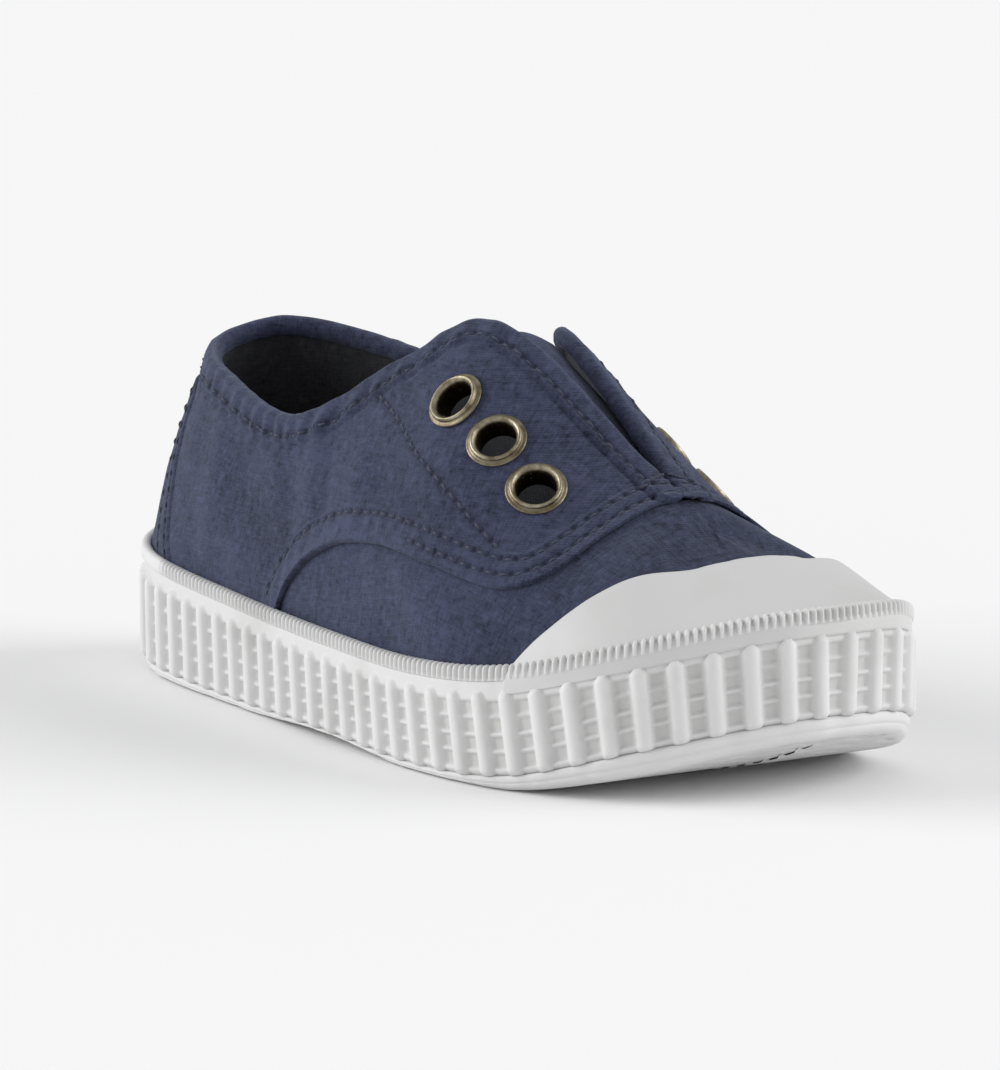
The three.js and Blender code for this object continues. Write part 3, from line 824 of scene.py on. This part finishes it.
# Darker where the cells are sunk deepest and along the wall's rounded foot.
recess_dark = np.clip(depth - BAR_PROUD * 0.8, 0, 1) + foot_round * 0.3
sidewall = grid_piece(
    "sidewall", "band", "sole_rubber", wall_points,
    masks={"recess": pad_inside(recess_dark, wall_points)})
print("bars are", round(PITCH, 2), "mm apart")

# %% [markdown]
# ## Bead
# Along the top of the sidewall runs a fine serrated bead. Round the heel patch it is smooth. An
# Array of teeth could be bent along it, but a cosine of the length cuts them all at once and
# keeps the bead one closed ring.

# %% Build the bead
TEETH = 306
TOOTH_SAMPLES = 8
bead_count = TEETH * TOOTH_SAMPLES
bead_row = row_at(np.arange(bead_count)[:, None] * bar_run[-1] / bead_count)
tooth_phase = np.arange(bead_count)[:, None] / TOOTH_SAMPLES
notch = 0.5 - 0.5 * np.cos(2 * np.pi * tooth_phase)
notch = notch**1.2 * smoothstep(side_row(bead_row), PATCH_FOOT - 0.15, PATCH_FOOT + 0.05)
bead_top = along(BAND_Z, bead_row)
rise = np.array([0.0, 0.25, 0.55, 1.2, 1.8, 2.15, 2.38, 2.45, 2.4, 2.2, 0.0])
inset = np.array([0.80, 0.52, 0.40, 0.38, 0.42, 0.55, 0.85, 1.2, 1.6, 1.95, 1.98])
cut = np.array([0.0, 0.5, 0.9, 1, 1, 1, 1, 0.6, 0.2, 0, 0])
drop = np.array([0, 0, 0, 0, 0, 0.3, 0.5, 0.6, 0.5, 0.2, 0])
bead_x, bead_y = outline(bead_row, inset + 0.7 * notch * cut)
bead_z = bead_top - BEAD_TALL + rise - notch * drop * 1.3
bead_points = np.stack([bead_x, bead_y, bead_z], -1)
# Darker in the notches between the teeth.
bead = grid_piece(
    "serrated_bead", "band", "sole_rubber", bead_points, masks={"recess": 0.9 * notch * cut})

# %% [markdown]
# ## Toe cap
# The rubber cap is moulded over the vamp. Its back edge is a curved line across the shoe, and
# its surface repeats the vamp's form a little further out. A Boolean could cut the edge, but
# then the points would not run along it, so each column looks for its own place on the line.

# %% Build the toe cap
CAP_THICK = 1.3
CAP_FOOT = -0.08
CAP_LINE, CAP_SWEEP, CAP_REACH = 0.375 * LENGTH, 14, 35  # its edge is a cubic curve
RIDGE_Y = TOP_Y[FOCUS_ROW]
cap_rows = np.linspace(5.7, ROWS - 5.7, 420)[:, None]
low, high = np.full(cap_rows.shape, -0.15), np.ones(cap_rows.shape)
for _ in range(30):  # halve the search between a height ahead of the line and one behind it
    middle = (low + high) / 2
    at = skin(cap_rows, middle)
    ahead = at[..., 0] > CAP_LINE - CAP_SWEEP * (np.abs(at[..., 1] - RIDGE_Y) / CAP_REACH) ** 3
    low, high = np.where(ahead, middle, low), np.where(ahead, high, middle)
cap_edge = np.maximum(low, CAP_FOOT + 0.005)
cap_v = CAP_FOOT + (cap_edge - CAP_FOOT) * np.linspace(0, 1, 84) ** 0.9
cap_flat = skin(cap_rows, cap_v)
to_edge = np.linalg.norm(cap_flat - cap_flat[:, -1:], axis=-1)
cap_round = np.sqrt(np.clip(1 - (1 - np.clip(to_edge / 1.1, 0, 1)) ** 2, 0, 1))
cap_out = GAP * 0.3 + (CAP_THICK + GAP * 0.7) * (0.25 + 0.75 * cap_round)
cap_out = cap_out + 0.1 * unevenness(cap_flat, 22) + 0.035 * unevenness(cap_flat, 8)
cap_points = shell(lift(cap_rows, cap_v, cap_out), lift(cap_rows, cap_v, 0.02)[:, ::4])
toe_cap = grid_piece(
    "toe_cap_shell", "toe_cap", "cap_rubber", cap_points, "across", masks={"recess": 0})

# %% [markdown]
# ## Outsole
# Under the bars the sole has a smooth margin that slopes in to the tread. The tread is flat at
# the heel and the ball, with cross grooves between its lugs and a fine zigzag on them. Booleans
# could cut the grooves one by one, but as a depth formula they all keep soft, moulded sides.

# %% Build the outsole
GROOVES = table("x length", [
    [0.170, 0.44], [0.225, 0.48], [0.280, 0.50], [0.620, 0.60], [0.675, 0.62], [0.730, 0.62],
    [0.785, 0.60],
])
TREAD_INSET = 3.2
GROOVE_DEPTH = 1.1
GROOVE_HALF = 34  # mm of half length for a groove of length 1
SLAB_TALL = 5.4


def tread_cut(x, y):
    """Depth of the tread's grooves: smooth-sided main ones, and a fine zigzag between them."""
    cut = np.zeros(np.broadcast(x, y).shape)
    for fraction, length in zip(*GROOVES.values()):
        beside = np.abs(x - (fraction - 0.5) * LENGTH)
        inside = 1 - smoothstep(beside, 0.95, 1.35)
        end = length * GROOVE_HALF
        inside = inside * (1 - smoothstep(np.abs(y), end - 0.6, end))
        cut = np.maximum(cut, GROOVE_DEPTH * inside)
    zigzag = x + 1.2 * np.abs(np.mod(y / 4, 2) - 1)
    fine = 0.45 * smoothstep(np.cos(zigzag * 2 * np.pi / 3.1), 0.15, 0.6)
    return np.maximum(cut, fine)


sole_rows = np.linspace(0, ROWS, 601)[:-1][:, None]
margin_z = along(RIBS_Z, sole_rows) - 0.02
tread_z = np.maximum(along(TREAD_Z, sole_rows), 0)
drop_share = np.array([0, 0.02, 0.12, 0.3, 0.42, 0.47, 0.50, 0.55, 0.75, 0.92, 1.0])
drop_inset = np.array([2.2, 1.05, 0.85, 0.9, 1.0, 1.22, 1.22, 1.15, 1.6, 2.3, 3.2])
margin_rise = margin_z - tread_z
edge_noise = 0.12 * unevenness(np.stack([*outline(sole_rows), 0 * sole_rows], -1), 5)
margin_x, margin_y = outline(sole_rows, drop_inset - edge_noise)
margin = np.stack([margin_x, margin_y, margin_z - drop_share * margin_rise], -1)[:, ::-1]
tread_share = np.linspace(1, 0, 34)[1:]
foot_x, foot_y = outline(sole_rows, TREAD_INSET)
spine_y = middle_y(sole_rows, TREAD_INSET)
tread_y = spine_y + (foot_y - spine_y) * tread_share
tread_height = tread_z + tread_cut(foot_x, tread_y) * smoothstep(1 - tread_share, 0, 0.06)
tread = np.stack([foot_x + 0 * tread_y, tread_y, tread_height], -1)[:, ::-1]
slab_x, slab_y = outline(sole_rows, BAND_THICK + 0.2)
lid_y = middle_y(sole_rows, BAND_THICK + 0.2)
slab_z = along(RIBS_Z, sole_rows) + SLAB_TALL
slab, lid = (np.stack([slab_x, y, slab_z], -1) for y in (slab_y, lid_y))
sole_points = np.concatenate([tread, margin, slab, lid], 1)
outsole = grid_piece(
    "outsole_tread", "outsole", "sole_rubber", sole_points, "round", masks={"recess": 0})

# %% [markdown]
# ## Eyelets
# Each eyelet is a brass tube rolled over on the outside. Its section is turned about its own
# axis, as a lathe would, and set on the facing square to the cloth.

# %% Build the eyelets
EYELET = smooth_through([
    [3.05, -3.0], [3.05, -1.2], [3.08, 0.3], [3.3, 0.85], [3.6, 1.16], [3.85, 1.16], [4.02, 0.9],
    [4.08, 0.62], [4.3, 0.5], [4.58, 0.42], [4.68, 0.2], [4.3, -0.1],
], 60)
EYELET_BACK = np.array([
    [3.5, -0.1], [3.35, -1.4], [3.9, -1.9], [4.3, -2.2], [4.1, -2.7], [3.3, -3.0],
])
SEAT_LATERAL, SEAT_MEDIAL = 0.3, -0.5  # how far the brass stands out of the skin
profile = np.vstack([EYELET, EYELET_BACK])
spin = np.linspace(0, 2 * np.pi, 57)[:-1][:, None]
eyelets = []
for row, v, name in eyelet_places():
    lengthwise, _, outwards = directions(np.array(row), np.array(v))
    upwards = np.cross(outwards, lengthwise)
    seat = skin(row, v) + outwards * (SEAT_LATERAL if row < ROWS / 2 else SEAT_MEDIAL)
    radius, height = profile.T
    turned = np.stack([np.cos(spin) * radius, np.sin(spin) * radius, height + 0 * spin], -1)
    ring = seat + turned @ np.stack([lengthwise, upwards, outwards])
    inner = np.clip((3.45 - radius) / 0.3, 0, 1) * np.clip(1 - height, 0, 1)
    inner = np.maximum(inner, 0.45 * np.clip((radius - 4.0) / 0.1, 0, 1))
    eyelets.append(grid_piece(
        name.replace("eyelet", "brass_eyelet"), name, "eyelet_brass", ring, inside_out=True,
        masks={"inside": inner}))

# %% [markdown]
# ## Stitches
# A stitch is a short rounded piece of thread whose ends dive into the cloth. One small form is
# copied along each seam line in whole arrays: its place, its direction and the cloth's outward
# direction place every copy at once.

# %% One stitch, and a row of them
THREAD = 0.24  # half the thread's width
STITCH_SHARES = np.linspace(-1, 1, 7)
STITCH_SIDES = np.linspace(0, 2 * np.pi, 7)[:-1]


def stitch_row(line, pitch, length, lifted=0.0, width=THREAD):
    """Points and faces of all stitches along a line of rows and heights."""
    path = skin(*line.T)
    count = max(2, int(lengths_along(path)[-1] / pitch))
    places = resample(line, path, count)
    row, v = places.T
    on_skin = skin(row, v)
    out = relief(on_skin, row) + lifted
    _, _, outwards = directions(row, v)
    centre = on_skin + outwards * out[:, None]
    tangent = unit(np.gradient(centre, axis=0))
    across = unit(np.cross(outwards, tangent))
    girth = np.sqrt(1 - 0.85 * STITCH_SHARES**2) * width
    x = STITCH_SHARES * length / 2
    z = 0.06 - 0.32 * STITCH_SHARES**2
    ring_y = girth[:, None] * np.cos(STITCH_SIDES)
    ring_z = z[:, None] + girth[:, None] * np.sin(STITCH_SIDES)
    shape = np.stack([np.broadcast_to(x[:, None], ring_y.shape), ring_y, ring_z], -1)
    axes = np.stack([tangent, across, outwards], 1)
    points = centre[:, None, None] + np.einsum("rsk,nkd->nrsd", shape, axes)
    one = grid_faces(len(STITCH_SHARES), len(STITCH_SIDES), wrap_n=True)
    per = shape.shape[0] * shape.shape[1]
    faces = (one[None] + (np.arange(count) * per)[:, None, None]).reshape(-1, 4)
    return points.reshape(-1, 3), faces


def join_rows(rows):
    """All rows as one pair of arrays."""
    points, faces, start = [], [], 0
    for p, f in rows:
        points.append(p)
        faces.append(f + start)
        start += len(p)
    return np.vstack(points), np.vstack(faces)


# %% Sew every seam
sewn = [stitch_row(line, STITCH_PITCH, 1.6) for line in QUARTER_SEAMS]
sewn += [stitch_row(line, STITCH_PITCH, 1.5, lifted=0.55) for line in PATCH_SEAMS]
bar_tack = np.stack([np.full(9, 6.14), np.linspace(0.90, 0.985, 9)], -1)
sewn += [stitch_row(line, 0.5, 1.1, lifted=0.05) for line in both_sides(bar_tack)]
stitch_points, stitch_faces = join_rows(sewn)
stitches = make_piece("stitches", "upper", "canvas", stitch_points, stitch_faces)
print("stitches sewn:", len(stitch_points) // (len(STITCH_SHARES) * len(STITCH_SIDES)))

# %% [markdown]
# ## Shared effects for the finishes
# Woven cloth, soft mottling and pressed seams are each a shader node group with named inputs, so
# every finish can use them with its own values. A group only hands out masks and heights; the
# shader stays in the material.

# %% Node helpers
def new_group(name, inputs, outputs):
    """An empty shader node group with named sockets, and its input and output nodes."""
    tree = bpy.data.node_groups.new(name, "ShaderNodeTree")
    for label, kind, default in inputs:
        socket = tree.interface.new_socket(name=label, in_out="INPUT", socket_type=kind)
        if default is not None:
            socket.default_value = default
    for label, kind in outputs:
        tree.interface.new_socket(name=label, in_out="OUTPUT", socket_type=kind)
    return tree, tree.nodes.new("NodeGroupInput"), tree.nodes.new("NodeGroupOutput")


def set_inputs(tree, node, inputs):
    """Each input is linked when its value is a socket, and set when it is a constant."""
    for key, value in inputs.items():
        if isinstance(value, bpy.types.NodeSocket):
            tree.links.new(value, node.inputs[key])
        else:
            node.inputs[key].default_value = value


def add(tree, kind, inputs=None, **settings):
    """A node with its settings and inputs."""
    node = tree.nodes.new(kind)
    for key, value in settings.items():
        setattr(node, key, value)
    set_inputs(tree, node, inputs or {})
    return node


def math_node(tree, operation, a, b=0.0):
    return add(tree, "ShaderNodeMath", {0: a, 1: b}, operation=operation).outputs[0]


def times(tree, a, b):
    return math_node(tree, "MULTIPLY", a, b)


def plus(tree, a, b):
    return math_node(tree, "ADD", a, b)


def mix_colour(tree, factor, a, b):
    inputs = {"Factor": factor, 6: a, 7: b}
    return add(tree, "ShaderNodeMix", inputs, data_type="RGBA").outputs[2]


def noise(tree, place, size, detail, roughness=0.5):
    inputs = {"Vector": place, "Scale": size, "Detail": detail, "Roughness": roughness}
    return add(tree, "ShaderNodeTexNoise", inputs)


def remap(tree, value, low, high, to_low=0.0, to_high=1.0):
    return add(tree, "ShaderNodeMapRange", {
        "Value": value, "From Min": low, "From Max": high, "To Min": to_low, "To Max": to_high,
    }).outputs[0]


FLOAT, VECTOR = "NodeSocketFloat", "NodeSocketVector"


# %% Woven cloth group
def build_weave():
    """Plain weave: warp and weft threads pass over and under each other, so the height is the
    larger of two rounded threads, each raised where a product of sines says it is on top."""
    tree, given, out = new_group(
        "woven cloth",
        [("Cloth", VECTOR, None), ("Threads per mm", FLOAT, 1.9)],
        [("Height", FLOAT), ("Slub", FLOAT)],
    )
    cloth = given.outputs["Cloth"]
    scaled = add(tree, "ShaderNodeVectorMath", {0: cloth}, operation="SCALE")
    tree.links.new(given.outputs["Threads per mm"], scaled.inputs["Scale"])
    wobble = noise(tree, cloth, 0.35, 2.0).outputs["Color"]
    bent = add(tree, "ShaderNodeVectorMath", {0: wobble, 1: (0.5, 0.5, 0.5)}, operation="SUBTRACT")
    bent = add(tree, "ShaderNodeVectorMath", {0: bent.outputs[0], "Scale": 1.3}, operation="SCALE")
    both = {0: scaled.outputs[0], 1: bent.outputs[0]}
    moved = add(tree, "ShaderNodeVectorMath", both, operation="ADD")
    apart = add(tree, "ShaderNodeSeparateXYZ", {0: moved.outputs[0]})
    waves = [math_node(tree, "SINE", times(tree, apart.outputs[i], math.pi)) for i in (0, 1)]
    over = times(tree, *waves)
    warp, weft = (
        times(tree, math_node(tree, "ABSOLUTE", wave), remap(tree, over, -sign, sign, 0.35, 1.0))
        for wave, sign in zip(waves, (1, -1)))
    slubs = []
    for stretch in ((0.4, 2.4, 1.0), (2.4, 0.4, 1.0)):
        long = add(tree, "ShaderNodeVectorMath", {0: cloth, 1: stretch}, operation="MULTIPLY")
        slubs.append(noise(tree, long.outputs[0], 1.0, 3.0).outputs["Fac"])
    height, slub = math_node(tree, "MAXIMUM", warp, weft), times(tree, plus(tree, *slubs), 0.5)
    set_inputs(tree, out, {"Height": height, "Slub": slub})
    return tree


# %% Mottling group
def build_mottle():
    """Soft patches of two sizes, for washed cloth, rubber and old brass."""
    tree, given, out = new_group(
        "soft mottling",
        [("Place", VECTOR, None), ("Size", FLOAT, 40.0), ("Fine", FLOAT, 300.0)],
        [("Patches", FLOAT), ("Specks", FLOAT)],
    )
    place = given.outputs["Place"]
    patches = noise(tree, place, given.outputs["Size"], 4.0, 0.6)
    specks = noise(tree, place, given.outputs["Fine"], 3.0, 0.7)
    set_inputs(tree, out, {"Patches": patches.outputs["Fac"], "Specks": specks.outputs["Fac"]})
    return tree


# %% Sewing group
def build_sewing():
    """Needle holes and the line that the thread presses into cloth, darkened as painted shade.
    The holes lie half-way between stitches, where the stitch number's fraction is one half."""
    tree, given, out = new_group(
        "pressed seam", [("Distance", FLOAT, 9.0), ("Stitch", FLOAT, 0.0)],
        [("Shade", FLOAT), ("Depth", FLOAT)],
    )
    pressed = remap(tree, given.outputs["Distance"], 1.1, 0.2)
    part = math_node(tree, "FRACT", given.outputs["Stitch"])
    from_hole = math_node(tree, "ABSOLUTE", math_node(tree, "SUBTRACT", part, 0.5))
    near_line = remap(tree, given.outputs["Distance"], 0.62, 0.34)
    hole = times(tree, remap(tree, from_hole, 0.22, 0.10), near_line)
    shade = math_node(tree, "MAXIMUM", times(tree, pressed, 0.25), times(tree, hole, 0.65))
    depth = plus(tree, times(tree, pressed, 0.5), hole)
    set_inputs(tree, out, {"Shade": shade, "Depth": depth})
    return tree


WEAVE, MOTTLE, SEWING = build_weave(), build_mottle(), build_sewing()
print("node groups:", WEAVE.name, "and", MOTTLE.name, "and", SEWING.name)


# %% [markdown]
# ## Finishes
# Each finish is a Principled shader fed by the groups: washed canvas, thread, dark lining,
# off-white rubber and aged brass. Painted textures could be wrapped round the pieces, but
# formulas stay sharp at any distance, and one number changes them.

# %% A new material with its shader
def new_material(name, roughness, **constants):
    material = bpy.data.materials.new(name)
    material.use_nodes = True
    tree = material.node_tree
    shader = tree.nodes["Principled BSDF"]
    shader.inputs["Roughness"].default_value = roughness
    for key, value in constants.items():
        shader.inputs[key.replace("_", " ")].default_value = value
    return material, tree, shader


def use_group(tree, group, inputs):
    return add(tree, "ShaderNodeGroup", inputs, node_tree=group).outputs


def mottled(tree, size, fine):
    """The soft mottling of a piece, on its own coordinates."""
    place = add(tree, "ShaderNodeTexCoord").outputs["Object"]
    return use_group(tree, MOTTLE, {"Place": place, "Size": size, "Fine": fine})


def mask(tree, name):
    return add(tree, "ShaderNodeAttribute", attribute_name=name).outputs["Fac"]


def bump(tree, shader, height, strength, distance=0.0002):
    inputs = {"Height": height, "Strength": strength, "Distance": distance}
    node = add(tree, "ShaderNodeBump", inputs)
    tree.links.new(node.outputs[0], shader.inputs["Normal"])


# %% Canvas and lining
def canvas_finish(name, dark, light, weave_size=1.9, sewn=True):
    """Woven cotton: threads vary in colour. The crests of the weave and of raised cloth are painted
    paler, and creases and the gaps between threads darker: painted highlight and painted shade.
    """
    material, tree, shader = new_material(
        name, 0.95, Sheen_Weight=0.16, Sheen_Roughness=0.45, Sheen_Tint=(0.75, 0.84, 1.0, 1),
        Specular_IOR_Level=0.15)
    cloth = add(tree, "ShaderNodeUVMap", uv_map="cloth").outputs[0]
    weave = use_group(tree, WEAVE, {"Cloth": cloth, "Threads per mm": weave_size})
    mottle = mottled(tree, 45.0, 700.0)
    tone = times(tree, remap(tree, weave["Slub"], 0.36, 0.64), 0.55)
    # Of these, the weave's height paints highlight on the threads' crests and shade between them.
    for value, strength in (
        (remap(tree, mottle["Patches"], 0.35, 0.65), 0.3),
        (weave["Height"], 0.3),
        (remap(tree, mottle["Specks"], 0.54, 0.70), 0.45),
        (remap(tree, mottle["Specks"], 0.46, 0.32), -0.35),
    ):
        tone = plus(tree, tone, times(tree, value, strength))
    height = weave["Height"]
    # The fold mask paints highlight where the cloth stands out and shade in its creases.
    if sewn:
        tone = plus(tree, tone, times(tree, mask(tree, "fold"), 0.16))
    colour = mix_colour(tree, tone, (*dark, 1), (*light, 1))
    # Painted shade along each pressed seam line and in its needle holes, and a groove in the bump.
    if sewn:
        marks = {"Distance": mask(tree, "seam"), "Stitch": mask(tree, "stitch")}
        sewing = use_group(tree, SEWING, marks)
        colour = mix_colour(tree, sewing["Shade"], colour, (*[0.3 * c for c in dark], 1))
        height = math_node(tree, "SUBTRACT", height, times(tree, sewing["Depth"], 3.0))
    rough = remap(tree, weave["Slub"], 0.3, 0.7, 0.86, 0.98)
    set_inputs(tree, shader, {"Base Color": colour, "Roughness": rough})
    bump(tree, shader, height, 0.3, 0.0003)
    return material


canvas = canvas_finish("washed navy canvas", (0.010, 0.012, 0.024), (0.055, 0.065, 0.119), 2.9)
dark_cotton = canvas_finish(
    "dark cotton lining", (0.013, 0.013, 0.015), (0.042, 0.042, 0.046), 2.2, sewn=False)
for piece in (quarters, vamp, patch, tongue):
    piece.data.materials.append(canvas)
for piece in (lining, footbed):
    piece.data.materials.append(dark_cotton)


# %% Thread
def thread_finish():
    """Cotton thread in the canvas's own colour, darker in patches."""
    material, tree, shader = new_material("navy thread", 0.8, Sheen_Weight=0.1)
    mottle = mottled(tree, 500.0, 2200.0)
    dark, light = (0.020, 0.023, 0.042, 1), (0.055, 0.062, 0.105, 1)
    tree.links.new(mix_colour(tree, mottle["Patches"], dark, light), shader.inputs["Base Color"])
    bump(tree, shader, mottle["Specks"], 0.4)
    return material


stitches.data.materials.append(thread_finish())


# %% Rubber
def rubber_finish(name, light_tone, dark_tone, roughness, recess_dark):
    """Moulded off-white rubber: darker in the recesses, with soft patches and pinholes."""
    material, tree, shader = new_material(name, roughness, Specular_IOR_Level=0.35)
    mottle = mottled(tree, 60.0, 900.0)
    darkened = times(tree, mask(tree, "recess"), recess_dark)
    for name, low, high, strength in (("Patches", 0.52, 0.72, 0.22), ("Specks", 0.73, 0.78, 0.35)):
        darkened = plus(tree, darkened, times(tree, remap(tree, mottle[name], low, high), strength))
    colour = mix_colour(tree, darkened, (*light_tone, 1), (*dark_tone, 1))
    rough = remap(tree, mottle["Patches"], 0.3, 0.7, roughness - 0.06, roughness + 0.08)
    set_inputs(tree, shader, {"Base Color": colour, "Roughness": rough})
    bump(tree, shader, mottle["Specks"], 0.12)
    return material


sole_rubber = rubber_finish("sidewall rubber", (0.68, 0.68, 0.68), (0.36, 0.36, 0.345), 0.55, 0.5)
cap_rubber = rubber_finish("toe cap rubber", (0.59, 0.59, 0.59), (0.50, 0.495, 0.47), 0.42, 0.3)
for piece in (sidewall, bead, outsole):
    piece.data.materials.append(sole_rubber)
toe_cap.data.materials.append(cap_rubber)


# %% Aged brass
def brass_finish():
    """Dull antique brass: brown in the barrel, pale and worn on the crest of the roll."""
    material, tree, shader = new_material("aged brass", 0.42, Metallic=1.0)
    mottle = mottled(tree, 420.0, 1500.0)
    patches = remap(tree, mottle["Patches"], 0.35, 0.65)
    metal = mix_colour(tree, patches, (0.16, 0.135, 0.085, 1), (0.42, 0.38, 0.28, 1))
    colour = mix_colour(tree, mask(tree, "inside"), metal, (0.075, 0.05, 0.03, 1))
    rough = remap(tree, mottle["Specks"], 0.3, 0.7, 0.32, 0.55)
    set_inputs(tree, shader, {"Base Color": colour, "Roughness": rough})
    bump(tree, shader, mottle["Specks"], 0.15)
    return material


brass = brass_finish()
for eyelet in eyelets:
    eyelet.data.materials.append(brass)
print("finishes:", len(bpy.data.materials))

# %% [markdown]
# ## Stage, light and camera
# The shoe stands on a plain pale floor in a white room with two large windows, one towards its
# lateral side and heel and one towards its toe and far side. Each window is a very wide sun. The
# camera looks from the front of the lateral side, low and from far away.

# %% Floor and lights
FLOOR = 6.0  # half of the floor's side, in metres
floor_mesh = bpy.data.meshes.new("floor")
floor_corners = [(-FLOOR, -FLOOR, 0), (FLOOR, -FLOOR, 0), (FLOOR, FLOOR, 0), (-FLOOR, FLOOR, 0)]
floor_mesh.from_pydata(floor_corners, [], [(0, 1, 2, 3)])
floor = bpy.data.objects.new("floor", floor_mesh)
pale, _, _ = new_material("pale floor", 0.9, Base_Color=(0.9, 0.9, 0.9, 1))
floor_mesh.materials.append(pale)
bpy.context.collection.objects.link(floor)
floor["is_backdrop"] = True

world = bpy.data.worlds.new("studio")
world.use_nodes = True
room = world.node_tree.nodes["Background"]
room.inputs["Color"].default_value = (1, 1, 1, 1)
room.inputs["Strength"].default_value = 0.60
bpy.context.scene.world = world


def soft_sun(name, direction, strength):
    """A very wide sun from that direction, so that shadows are soft."""
    light = bpy.data.lights.new(name, "SUN")
    light.angle = math.radians(50)
    light.energy = strength
    lamp = bpy.data.objects.new(name, light)
    lamp.rotation_euler = Vector(direction).to_track_quat("Z", "Y").to_euler()
    bpy.context.collection.objects.link(lamp)


soft_sun("window on the left", (-0.58, -0.76, 0.32), 2.1)
soft_sun("window on the right", (0.60, 0.72, 0.42), 1.7)

# %% Camera
AZIMUTH, ELEVATION = math.radians(56), math.radians(9)
DISTANCE = 7 * LENGTH * MM
level = math.cos(ELEVATION)
back = Vector((math.sin(AZIMUTH) * level, -math.cos(AZIMUTH) * level, math.sin(ELEVATION)))
aim = Vector((0.004, 0.0, 0.0295))
lens = bpy.data.cameras.new("camera")
lens.lens = 255
lens.clip_start, lens.clip_end = 0.05, 50
camera = bpy.data.objects.new("camera", lens)
camera.location = aim + back * DISTANCE
camera.rotation_euler = (-back).to_track_quat("-Z", "Y").to_euler()
bpy.context.collection.objects.link(camera)
bpy.context.scene.camera = camera
bpy.context.scene.view_settings.view_transform = "Standard"
print("camera is", round(DISTANCE, 2), "m away")

# %% Compare the sizes and finish
visual_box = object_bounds()
for label, box in (("CAD", cad_box), ("visual", visual_box)):
    print(label, [[round(value / MM, 1) for value in corner] for corner in box])
